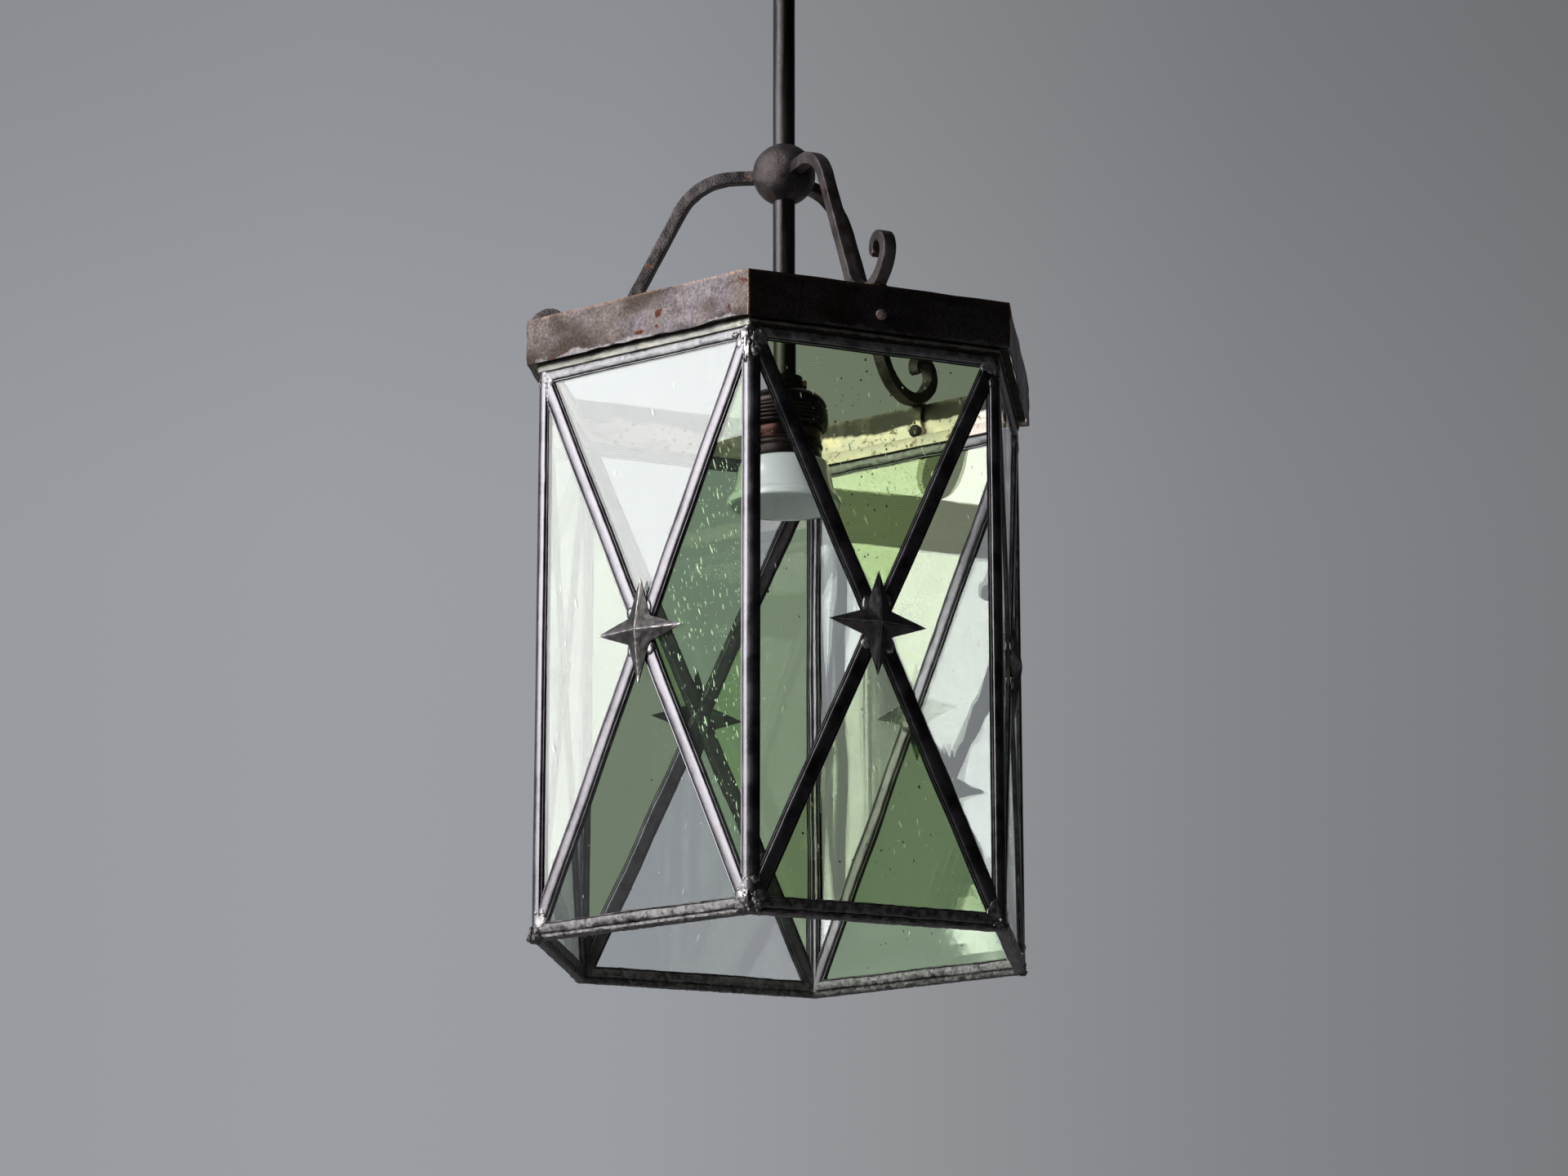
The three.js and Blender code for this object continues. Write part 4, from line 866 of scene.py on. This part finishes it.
def bottom_rim():
    """The lumpy strip under the glass body, with solder at its corners."""
    shape = Shape()
    top, foot = (PANEL_FOOT - GAP) / MM, BOTTOM / MM
    lump, sag = loop_wave(41, 0.45, 150), loop_wave(42, 0.45, 130)
    section = [(-0.5, top + 0.2, 0.2), (-0.1, top - 0.5, 0.7), (-0.05, top - 1.6, 1.1), (-0.7, foot + 0.3, 0.9),
               (-1.8, foot + 0.05, 0.8), (-3.6, foot, 0.6), (-5.0, foot + 0.3, 0.45), (-5.5, top - 1.2, 0.45),
               (-5.3, top + 0.2, 0.25)]

    def wave(share, i):
        return -abs(lump(share + 0.01 * i)) * 0.8, abs(sag(share + 0.013 * i)) * (1 if 2 < i < 7 else 0)
    hex_bar(shape, BODY_FACE, section, 0.8, wave, steps=100, finish=1)
    for index in range(FACES):
        turn = Matrix.Rotation(index * TURN + TURN / 2, 4, "Z")
        pick = np.random.default_rng(index + 70).uniform
        for k in range(9):
            size = (pick(1.6, 3.0) * MM, pick(1.5, 2.5) * MM, pick(1.2, 2.6) * MM)
            which = blob(shape, (0, 0, 0), size, index + 60.5 + k, rough=0.6, sides=16, rings=12, crest=0.8)
            spot = (pick(-4, 4) * MM, -(BODY_R - pick(1.4, 4.2) * MM), (top - pick(-3, 1.4)) * MM)
            shape.move(turn @ Matrix.Translation(spot), which)
    shape.piece("foot_strip", "lantern", [LEAD, DULL_SOLDER], "lead_came", "bottom_rim")


# The arms
def arm_line():
    """Stations down the middle of an arm, in mm: (distance from the axis, height, heading, thickness)."""
    root, root_l, foot_l, shoulder_r, foot_r = 11.3, 15.5, 10.3, 32.0, 26.0
    z, foot_z = BALL_Z / MM - 1.2, BAND_TOP / MM + 1.6
    bends = shoulder_r + foot_r
    out, down = (BAND_FACE - BAND_WALL) / MM - foot_l - root - root_l, z - foot_z - bends
    slope = math.atan2(down, out) + math.asin(bends / math.hypot(out, down))
    now = [root, z, 0.0, ARM_T / MM]
    line = [tuple(now)]

    def run(length, steps):
        for _ in range(steps):
            now[0] += length / steps * math.cos(now[2])
            now[1] += length / steps * math.sin(now[2])
            line.append(tuple(now))

    def bend(radius, turn, end_t=None):
        steps, side, start_t = max(3, int(abs(turn) / math.radians(5))), math.copysign(1, turn), now[3]
        for i in range(1, steps + 1):
            after = now[2] + turn / steps
            now[0] += side * radius * (math.sin(after) - math.sin(now[2]))
            now[1] -= side * radius * (math.cos(after) - math.cos(now[2]))
            now[2:] = after, start_t + ((end_t or start_t) - start_t) * i / steps
            line.append(tuple(now))
    run(root_l, 5)
    bend(shoulder_r, -slope)
    run(math.sqrt(out ** 2 + down ** 2 - bends ** 2), 9)
    bend(foot_r, slope)
    bend(23.0, math.radians(58))
    bend(8.5, math.radians(132), 5.5)
    bend(5.0, math.radians(120), ARM_TIP_T / MM)
    return line


def square_section(width, thick, corner):
    """Round a bar with softened corners, three points a corner and three a side: (across, up, crest)."""
    points = []
    for quarter, (sx, sy) in enumerate(((1, 1), (-1, 1), (-1, -1), (1, -1))):
        for k in range(3):
            turn = math.radians(90 * quarter + 45 * k)
            points.append((sx * (width / 2 - corner) + corner * math.cos(turn),
                           sy * (thick / 2 - corner) + corner * math.sin(turn), 1.35 if k == 1 else 1.15))
        for t in (0.2, 0.0, -0.2):
            points.append((sx * width / 2, t * sy * thick, 0.9) if quarter % 2 else
                          (t * sx * width, sy * thick / 2, 0.9))
    return points


def arm(number, index):
    """A forged arm with its scroll, and the tang and solder that hold it in the band."""
    shape, line, stations = Shape(), arm_line(), []
    for n, (r, z, heading, thick) in enumerate(line):
        left = len(line) - 1 - n
        beat = Vector((n * 0.37 + number * 9, 0, 0))
        wide = (ARM_W / MM) * (1 if left > 14 else 0.86 + 0.01 * left) * (1 + 0.035 * noise.noise(beat * 1.3))
        thick *= 1 + 0.05 * noise.noise(beat * 1.1 + Vector((0, 5, 0)))
        thick *= 1 if left > 4 else 0.72 + 0.07 * left
        station = []
        for a, b, crest in square_section(wide - 0.25, thick - 0.2, 0.5 if left > 3 else 1.1):
            dent = 0.24 * noise.noise(Vector((n * 0.8, round(a / 2.4), round(b / 2.4) + number * 7)))
            away = Vector((a, b)).normalized()
            a, b = a + away.x * dent, b + away.y * dent
            station.append((Vector((a, -(r - b * math.sin(heading)), z + b * math.cos(heading))) * MM, crest))
        stations.append(station)
    swept(shape, stations)
    # The tang flat inside the band, round at the rivet, and the solder over its top
    inner, top, rivet_z = (BAND_FACE - BAND_WALL - GAP) / MM, BAND_TOP / MM + 1.6, RIVET_Z / MM
    outline = [(3.4, top), (-3.4, top), (-2.7, rivet_z + 4.2), *arc(4.3, 150, 390, 10, z=rivet_z),
               (2.7, rivet_z + 4.2)]
    swept(shape, [[(Vector((x * shrink, -(inner - back), z)) * MM, crest) for x, z in outline]
                  for back, shrink, crest in ((0, 0.94, 1.2), (0.3, 1, 1.0), (2.1, 1, 1.0), (2.4, 0.94, 1.2))],
          finish=2)
    blob(shape, (0, -inner * MM + 0.6 * MM, BAND_TOP + 0.5 * MM), (4.6 * MM, 1.7 * MM, 1.5 * MM), number + 3.3,
         rough=0.4, sides=18, rings=11)
    shape.carry("rise", band_rise)
    shape.piece(f"forged_arm_{number}", "lantern", [IRON, BRASS, BAND_IN], "forged_iron", f"arm_{number}",
                sharp=45, turn=(index - 1) * TURN)


def beaten(size, around, along, seed=0):
    """A small uneven change of radius in mm, for turned pieces."""
    return lambda angle, z: size * MM * noise.noise(
        Vector((around * math.cos(angle), around * math.sin(angle), along * z + seed)))


def spun(shape, profile, height, sides=28, uneven=None):
    """A profile of (radius, distance from the axis along -Y) turned about a level line at a height."""
    which = turned(shape, profile, sides, uneven)
    shape.move(Matrix.Translation((0, 0, height)) @ Matrix.Rotation(math.pi / 2, 4, "X"), which)


def rivet(number, index):
    shape = Shape()
    face, inner = (BAND_FACE + GAP) / MM, (BAND_FACE - BAND_WALL - TANG_T - 2 * GAP) / MM
    tail = [(0.15, inner - 3), (2.6, inner - 2.9), (3.4, inner - 2.2), (3.6, inner - 1), (3.4, inner),
            (1.95, inner)]
    head = [(1.95, face), *arc(2.9, 0, 84, 7, high=1.55, z=face), (0.15, face + 1.55)]
    spun(shape, [(r, y, 1.0, 1) for r, y in tail] + head, RIVET_Z, uneven=beaten(0.12, 1, 300, number))
    shape.piece(f"copper_rivet_{number}", "lantern", [RIVET_HEAD, IRON], "copper", f"foot_rivet_{number}",
                sharp=50, turn=(index - 1) * TURN)


# Tube, ball and hanging gear
def tube():
    shape = Shape()
    top, foot, radius, bore, steps = STEM_TOP / MM, STEM_FOOT / MM, STEM_R / MM, STEM_BORE / MM, 60
    outer = [(radius - (0.3 if k in (0, steps) else 0.08), top + (foot - top) * k / steps)
             for k in range(steps + 1)]
    turned(shape, outer + [(bore, foot), (bore, top)], sides=48, uneven=beaten(0.07, 1.2, 45))
    shape.piece("hanging_tube", "lantern", [DRAWN_IRON], "forged_iron", "stem_tube", sharp=50)


def ball():
    shape = Shape()
    reach = math.degrees(math.acos((STEM_R + 0.15 * MM) / BALL_R))

    def uneven(angle, z):
        spot = Vector((math.cos(angle), math.sin(angle), (z - BALL_Z) / BALL_R))
        flats = 0.3 * MM * min(0.5, noise.voronoi(spot * 3.2)[0][0])
        pits = 0.1 * MM * min(0, noise.noise(spot * 11) + 0.1)
        return 0.2 * MM * noise.noise(spot * 2.3) + flats + pits - 0.22 * MM
    turned(shape, arc(BALL_R / MM - 0.1, -reach, reach, 64, z=BALL_Z / MM), sides=144, uneven=uneven)
    shape.piece("iron_ball", "lantern", [IRON], "forged_iron", "ball", sharp=60)


def wire(shape, line, radius, plane, seed=0, closed=True):
    """Round wire along points in mm that lie in the plane with this normal."""
    line, plane, stations = [Vector(point) * MM for point in line], Vector(plane), []
    for i, point in enumerate(line):
        before = line[i - 1 if closed else max(i - 1, 0)]
        after = line[(i + 1) % len(line) if closed else min(i + 1, len(line) - 1)]
        across = (after - before).normalized().cross(plane)
        size = radius * (1 + 0.03 * noise.noise(Vector((i * 0.4, seed, 0))))
        stations.append([(point + across * c + plane * s, 1.0) for c, s in reversed(arc(size, 0, 342, 19))])
    swept(shape, stations, closed=closed)


def hook():
    shape = Shape()
    line = [(0, -2.2), (0, -4), (0, -6), (-0.9, -8), (-2.8, -10.4), (-5.3, -13.2), (-7.2, -16.4)]
    line += arc(8, 172, 361, 21, z=-20)
    wire(shape, [(x, 0, z) for x, z in line], HOOK_WIRE_R, (0, 1, 0), closed=False)
    shape.piece("wire_hook", "ceiling", [STEEL], "steel", "ceiling_hook", sharp=50)


def link():
    shape = Shape()
    bend, straight, middle = 6.5, 5.5, -35.45
    line = arc(bend, 0, 180, 16, z=middle + straight) + arc(bend, 180, 360, 16, z=middle - straight)
    wire(shape, [(0, y, z) for y, z in line], LINK_WIRE_R, (1, 0, 0), seed=3)
    shape.piece("chain_link", "link", [STEEL], "steel", "hanging_link", sharp=50)


def eye():
    shape = Shape()
    wire(shape, [(x, 0, z) for x, z in arc(7, 0, -352.5, 47, z=-50.15)], LINK_WIRE_R, (0, 1, 0), seed=5)
    top = -57.15
    turned(shape, [(0.2, top + 0.6), (4.4, top + 0.6), (7.3, top), (7.9, top - 0.6), (7.9, top - 3.4),
                   (7.3, top - 4), (3.9, top - 4), (3.9, top - 19), (3.2, top - 20), (0.2, top - 20)], sides=56)
    shape.piece("tube_eye", "lantern", [IRON], "forged_iron", "stem_eye", sharp=50)


def plate():
    """The ceiling disc, its hole closed above the hook's root, with the heads of two wood screws."""
    shape = Shape()
    turned(shape, [(2.55, 0), (31.2, 0), (32, -0.9), (31.9, -2.6), (30.6, -4.2), (28.4, -4.95), (10, -5),
                   (2.55, -5)], sides=96)
    turned(shape, [(0.1, -0.02), (2.6, -0.02), (2.6, -1.6), (0.1, -1.6)], sides=24)
    for side in (1, -1):
        which = turned(shape, [(0.1, -4.95), (3.9, -5), (3.4, -6.1), (2.0, -6.8), (0.1, -7.0)], sides=28)
        shape.move(Matrix.Translation((0, side * 22 * MM, 0)), which)
    shape.piece("ceiling_disc", "ceiling", [STEEL], "steel", "ceiling_plate", sharp=35)


def cup():
    """A thin bowl, open to the ceiling, with a collar that slides on the tube."""
    shape = Shape()
    radius, rim, floor_z, foot, slip, collar, wall = 45.0, -6.0, -68.0, -81.0, 6.15, 9.6, 1.5
    neck = collar + 0.6
    outer = arc(radius - neck, 2, 87, 17, high=floor_z - rim, x=neck, z=rim)
    inner = arc(radius - wall - slip, 2, 87, 17, high=floor_z - rim + wall, x=slip, z=rim)
    profile = [(44.6, rim), (radius, rim - 0.6), (44.7, rim - 1.4), *outer, (collar + 0.4, floor_z + 0.2),
               (collar, floor_z - 0.8), (collar, foot + 3.6), (collar - 0.5, foot + 3.1), (collar, foot + 2.6),
               (collar, foot + 0.6), (collar - 0.6, foot), (slip + 0.2, foot), (slip, foot + 0.3),
               (slip, floor_z + wall), *inner[::-1], (43.8, rim)]
    turned(shape, [(r, z, 1.2 if z > rim - 1 or z < foot + 1 else 1.0) for r, z in profile], sides=128,
           uneven=beaten(0.12, 1.6, 64))
    shape.carry("rise", 0.6)
    shape.piece("ceiling_cup", "canopy", [BAND_OUT], "aged_band", "canopy")


def cup_screw():
    """A plain shank under a grip with fine ridges."""
    shape = Shape()
    start, end, grip, ridges = 9.9, 14.7, 4.0, 24
    spun(shape, [(0.1, 6.2), (1.5, 6.2), (1.78, 6.6), (1.78, 10.4), (0.1, 10.4)], CUP_SCREW_Z, sides=24)
    spun(shape, [(0.1, start), (grip - 0.5, start), (grip, start + 0.5), (grip, end - 0.5), (grip - 0.5, end),
                 (grip - 1, end + 0.1), (0.1, end + 0.1)], CUP_SCREW_Z, sides=ridges * 6,
         uneven=lambda a, z: -0.11 * MM * (1 + math.cos(a * ridges)) if start * MM < z < end * MM else 0)
    shape.piece("cup_thumb_screw", "canopy_screw", [BRASS], "bright_brass", "canopy_screw")


def collar_screw():
    """A slotted screw: a shank, and a head in two halves."""
    shape = Shape()
    spun(shape, [(0.1, 6.2), (1.2, 6.2), (1.46, 6.5), (1.46, 9.8), (2.36, 9.62), (2.36, 10.8), (0.1, 10.8)],
         COLLAR_SCREW_Z)
    lift, head = Vector((0, 0, COLLAR_SCREW_Z)), ((11.55, 0.88, 0.04), (11.3, 1, 0), (10.7, 1, 0))
    for side, start in ((1, -77), (-1, 103)):
        half = arc(2.3, start, start + 154, 12)
        swept(shape, [[(Vector((x * shrink + side * shift, -out, z * shrink)) * MM + lift, 1.1)
                       for x, z in half] for out, shrink, shift in head])
    shape.piece("collar_set_screw", "holder_screw", [BRASS], "bright_brass", "holder_screw", turn=TURN)


# Lampholder
def holder_cap():
    """A collar with a groove, a dome, five ribs below it, and the bore from the foot up."""
    shape = Shape()
    top, dome, rib_top, foot, slip, bore = -310.65, -319.15, -328.65, -339.15, 6.12, 19.45
    rows = [(slip, top), (8.9, top), (9.3, top - 0.4), (9.3, top - 3.4), (8.9, top - 3.8), (9.3, top - 4.2),
            (9.3, dome + 0.4), (9.9, dome + 0.1), *arc(11.9, 84, 14, 10, high=9.4, x=10.2, z=rib_top)]
    for k in range(5):
        z, r = rib_top - k * 2.1, 22.75 - 0.12 * (k - 2) ** 2
        rows += [(r - 0.75, z + 0.05, 0.15), (r - 0.3, z - 0.28, 0.8), (r, z - 0.7, 1.2), (r, z - 1.3, 1.2),
                 (r - 0.3, z - 1.75, 0.8)]
    rows += [(21.6, foot, 0.7), (bore, foot, 0.7), (bore, rib_top - 1, 0.7), (11.8, dome - 2.7, 0.7),
             (slip, dome - 2.7, 0.7)]
    turned(shape, rows, sides=112)
    shape.piece("ribbed_holder_cap", "lantern", [DARK_BRASS], "dark_brass", "holder_cap")


def holder_shell():
    """A copper band over a dark ring, and the thread below it that carries the shade ring."""
    shape = Shape()
    top, ring_top, lower, ring, foot = -339.45, -347.45, -350.45, -356.75, -365.25
    rows = [(16.75, top + 3.2, 0.8, 1), (19.0, top + 3.2, 0.8, 1), (19.0, top, 0.3, 1), (19.0, top - 0.1, 0.6),
            (19.2, top - 0.6, 1.1), (19.2, top - 3.9, 1.0), (19.2, ring_top + 0.7, 1.1),
            (18.9, ring_top + 0.1, 0.1, 1), (19.3, ring_top - 0.3, 0.9, 1), (19.75, ring_top - 0.9, 1.2, 1),
            (19.75, ring_top - 2.1, 1.2, 1), (19.3, lower + 0.2, 0.8, 1), (18.95, lower - 0.1, 0.1, 1),
            (19.2, lower - 0.6, 1.0, 1), (19.2, ring + 0.8, 1.0, 1), (18.9, ring + 0.35, 0.7, 1),
            (18.15, ring + 0.3, 0.5, 1)]
    rows += [(18.1 + (0.08 if k % 2 else -0.25), ring - 0.6 - k * 0.8, 0.9, 1) for k in range(9)]
    rows += [(18.1, foot + 0.2, 0.8, 1), (17.8, foot, 0.8, 1), (16.9, foot, 0.8, 1),
             (16.72, foot + 0.3, 0.8, 1)]
    turned(shape, rows, sides=112)
    shape.piece("copper_holder_shell", "holder_shell", [COPPER, DARK_BRASS], "copper", "holder_shell")


def shade_ring():
    """A flared ring; its outline is given in shares of the flare's width and height."""
    shape = Shape()
    top, height, shoulder, mouth, wall, bore = -356.75, 23.6, 22.4, 29.2, 2.0, 18.45
    outer = [(0.0, 0.05), (0.03, 0.09), (0.13, 0.17), (0.22, 0.28), (0.3, 0.39), (0.4, 0.52), (0.5, 0.62),
             (0.6, 0.7), (0.68, 0.765), (0.74, 0.79), (0.86, 0.805), (0.95, 0.84), (1.0, 0.895), (1.0, 0.95),
             (0.97, 0.985), (0.93, 0.998)]
    inner = [(0.9, 0.99), (0.78, 0.9), (0.62, 0.77), (0.46, 0.65), (0.34, 0.55), (0.22, 0.48)]
    rows = [(20.2, top), (21.6, top - 0.25)]
    rows += [(shoulder + (mouth - shoulder) * a, top - height * b) for a, b in outer]
    rows += [(shoulder + (mouth - shoulder) * a - wall, top - height * b, 0.8) for a, b in inner]
    rows += [(bore + 1, top - 9.3, 0.8), (bore, top - 8.8, 0.8), (bore, top, 0.6)]
    turned(shape, rows, sides=128, uneven=beaten(0.1, 1, 30))
    shape.piece("porcelain_shade_ring", "shade_ring", [PORCELAIN], "porcelain", "shade_ring", sharp=60)


def insert():
    shape = Shape()
    top, base, foot = -340.05, -346.05, -364.65
    turned(shape, [(3.25, top), (15.6, top), (16.35, top - 0.7), (16.35, foot + 0.6), (15.9, foot),
                   (14.8, foot), (14.25, foot + 0.5), (14.25, base + 0.3), (13.9, base), (3.6, base),
                   (3.25, base + 0.3)], sides=96)
    shape.piece("porcelain_body", "lantern", [PORCELAIN], "porcelain", "porcelain_insert")


def thread():
    """The rolled screw shell: a wall whose radius follows the thread round and up."""
    shape, stations = Shape(), []
    foot, top, pitch, radius, deep, wall, rows, sides = -364.3, -346.4, 3.6, 13.85, 0.5, 0.45, 84, 72
    for angle in (math.tau * k / sides for k in range(sides)):
        station = []
        for inset, order in ((0, range(rows + 1)), (wall, range(rows, -1, -1))):
            for z in (foot + (top - foot) * i / rows for i in order):
                wave = 0.5 - 0.5 * math.cos(math.tau * z / pitch - angle)
                r = radius - deep * wave * min(1, z - foot, top - z) - inset
                station.append((Vector((r * math.cos(angle), r * math.sin(angle), z)) * MM, 1.2 - 0.7 * wave))
        stations.append(station[::-1])
    swept(shape, stations[::-1], closed=True)
    shape.piece("lamp_thread", "lantern", [BRASS], "bright_brass", "thread_shell", sharp=60)


def contact():
    shape = Shape()
    top, head, foot = -340.05, -348.45, -349.85
    turned(shape, [(0.1, top), (2.7, top), (2.95, top - 0.4), (2.95, head), (3.8, head), (4.2, head - 0.4),
                   (4.1, foot + 0.3), (3.6, foot), (0.1, foot)], sides=56)
    shape.piece("tip_contact", "centre_contact", [BRASS], "bright_brass", "centre_contact")


def build():
    for index in range(1, FACES + 1):
        panel_frame(index)
        star(index)
    top_band()
    top_rim()
    bottom_rim()
    for number, index in ((1, 1), (2, 3), (3, 5)):
        arm(number, index)
        rivet(number, index)
    for make in (tube, ball, hook, link, eye, plate, cup, cup_screw, collar_screw, holder_cap, holder_shell,
                 shade_ring, insert, thread, contact):
        make()
    slots = {row["node"]: row["material_slot"] for row in frame["record"]["subparts"]}
    for index in range(1, FACES + 1):
        for side in LIGHTS:
            pane(index, side, slots[f"pane_{index}_{side}"])


# Studio: a grey room, a pale floor, and one large soft lamp at the lantern's left
CAMERA_AT = (-0.8545, -2.0150, -0.9739)
CAMERA_RIGHT, CAMERA_UP = (0.9206, -0.3904, 0), (-0.0952, -0.2245, 0.9697)
CAMERA_AHEAD = (0.3904 * 0.9698, 0.9206 * 0.9698, 0.2439)
LENS, SENSOR = 100.56, 36
WALL_TONES = ((0.0, "9a9ba0"), (0.2, "9d9ea3"), (0.4, "999ca1"), (0.6, "909195"), (0.8, "818489"),
              (1.0, "7a7b7f"))
BEHIND, DIM_ROOM, ROOM_LIGHT = (-0.35, 0.94, 0.0), (0.006, 0.006, 0.007, 1), (0.16, 0.16, 0.165, 1)
FLOOR_R, FLOOR_Z = 15.5, -3.3          # far enough down to look at the lantern from straight below
FLOOR_TONE, FLOOR_LIFT = "e4e4e6", 0.22
LAMP_WAY, LAMP_FAR, LAMP_TARGET = (-0.976, -0.1, 0.38), 2.15, (0, 0, -0.45)
LAMP_SIZE, LAMP_WATTS = (1.6, 1.35), 55


def room():
    """A grey wall that darkens to the right and the top; the room before it is dim, so metal shows one lamp."""
    world = bpy.data.worlds.new("grey room")
    bpy.context.scene.world = world
    world.use_nodes = True
    tree = world.node_tree
    path, at = add(tree, "ShaderNodeLightPath").outputs, place(tree, "Generated")
    right = vectors(tree, "DOT_PRODUCT", at, CAMERA_RIGHT)
    ramp = add(tree, "ShaderNodeValToRGB", ranged(tree, right, -0.176, 0.176))
    for spot, _ in WALL_TONES[1:-1]:
        ramp.color_ramp.elements.new(spot)
    for element, (spot, tone) in zip(ramp.color_ramp.elements, WALL_TONES):
        element.position, element.color = spot, linear(tone)
    fall = ranged(tree, vectors(tree, "DOT_PRODUCT", at, CAMERA_UP), 0.0, 0.16, 1.0, 0.8, soft=True)
    wall = vectors(tree, "SCALE", ramp.outputs[0], Scale=fall)
    away = ranged(tree, vectors(tree, "DOT_PRODUCT", at, BEHIND), -0.2, 0.5)
    dim = blend(tree, away, DIM_ROOM, wall)
    bounced = maths(tree, "MAXIMUM", path["Is Glossy Ray"], path["Is Transmission Ray"])
    shown = blend(tree, bounced, ROOM_LIGHT, dim)
    put(tree, tree.nodes["Background"], Color=blend(tree, path["Is Camera Ray"], shown, wall))


def floor():
    """A round pale floor. The camera sees it lighter than the dim room lights it, with its shadow kept."""
    mesh = bpy.data.meshes.new("floor")
    mesh.from_pydata([(x, y, FLOOR_Z) for x, y in arc(FLOOR_R, 0, 356.25, 95)], [], [range(96)])
    material, tree, shader = new_material("plain floor")
    put(tree, shader, Base_Color=FLOOR_TONE, Roughness=0.9)
    path = add(tree, "ShaderNodeLightPath").outputs
    seen = maths(tree, "MAXIMUM", path["Is Camera Ray"], path["Is Transmission Ray"])
    glow = add(tree, "ShaderNodeEmission", FLOOR_TONE, maths(tree, "MULTIPLY", seen, FLOOR_LIFT))
    both = add(tree, "ShaderNodeAddShader", shader.outputs[0], glow.outputs[0])
    put(tree, tree.nodes["Material Output"], Surface=both.outputs[0])
    mesh.materials.append(material)
    in_scene("floor", mesh)


def softbox():
    data = bpy.data.lights.new("left softbox", "AREA")
    data.shape, data.energy = "RECTANGLE", LAMP_WATTS
    data.size, data.size_y = LAMP_SIZE
    made = in_scene("left softbox", data)
    towards = Vector(LAMP_WAY).normalized()
    made.location = Vector(LAMP_TARGET) + towards * LAMP_FAR
    made.rotation_euler = (-towards).to_track_quat("-Z", "Y").to_euler()
    made.visible_camera = False


def camera():
    data = bpy.data.cameras.new("camera")
    data.lens, data.sensor_width = LENS, SENSOR
    made = in_scene("camera", data)
    made.location = CAMERA_AT
    made.rotation_euler = Vector(CAMERA_AHEAD).to_track_quat("-Z", "Y").to_euler()
    bpy.context.scene.camera = made


build()
room()
floor()
camera()
softbox()
bpy.context.scene.view_settings.view_transform = "Standard"
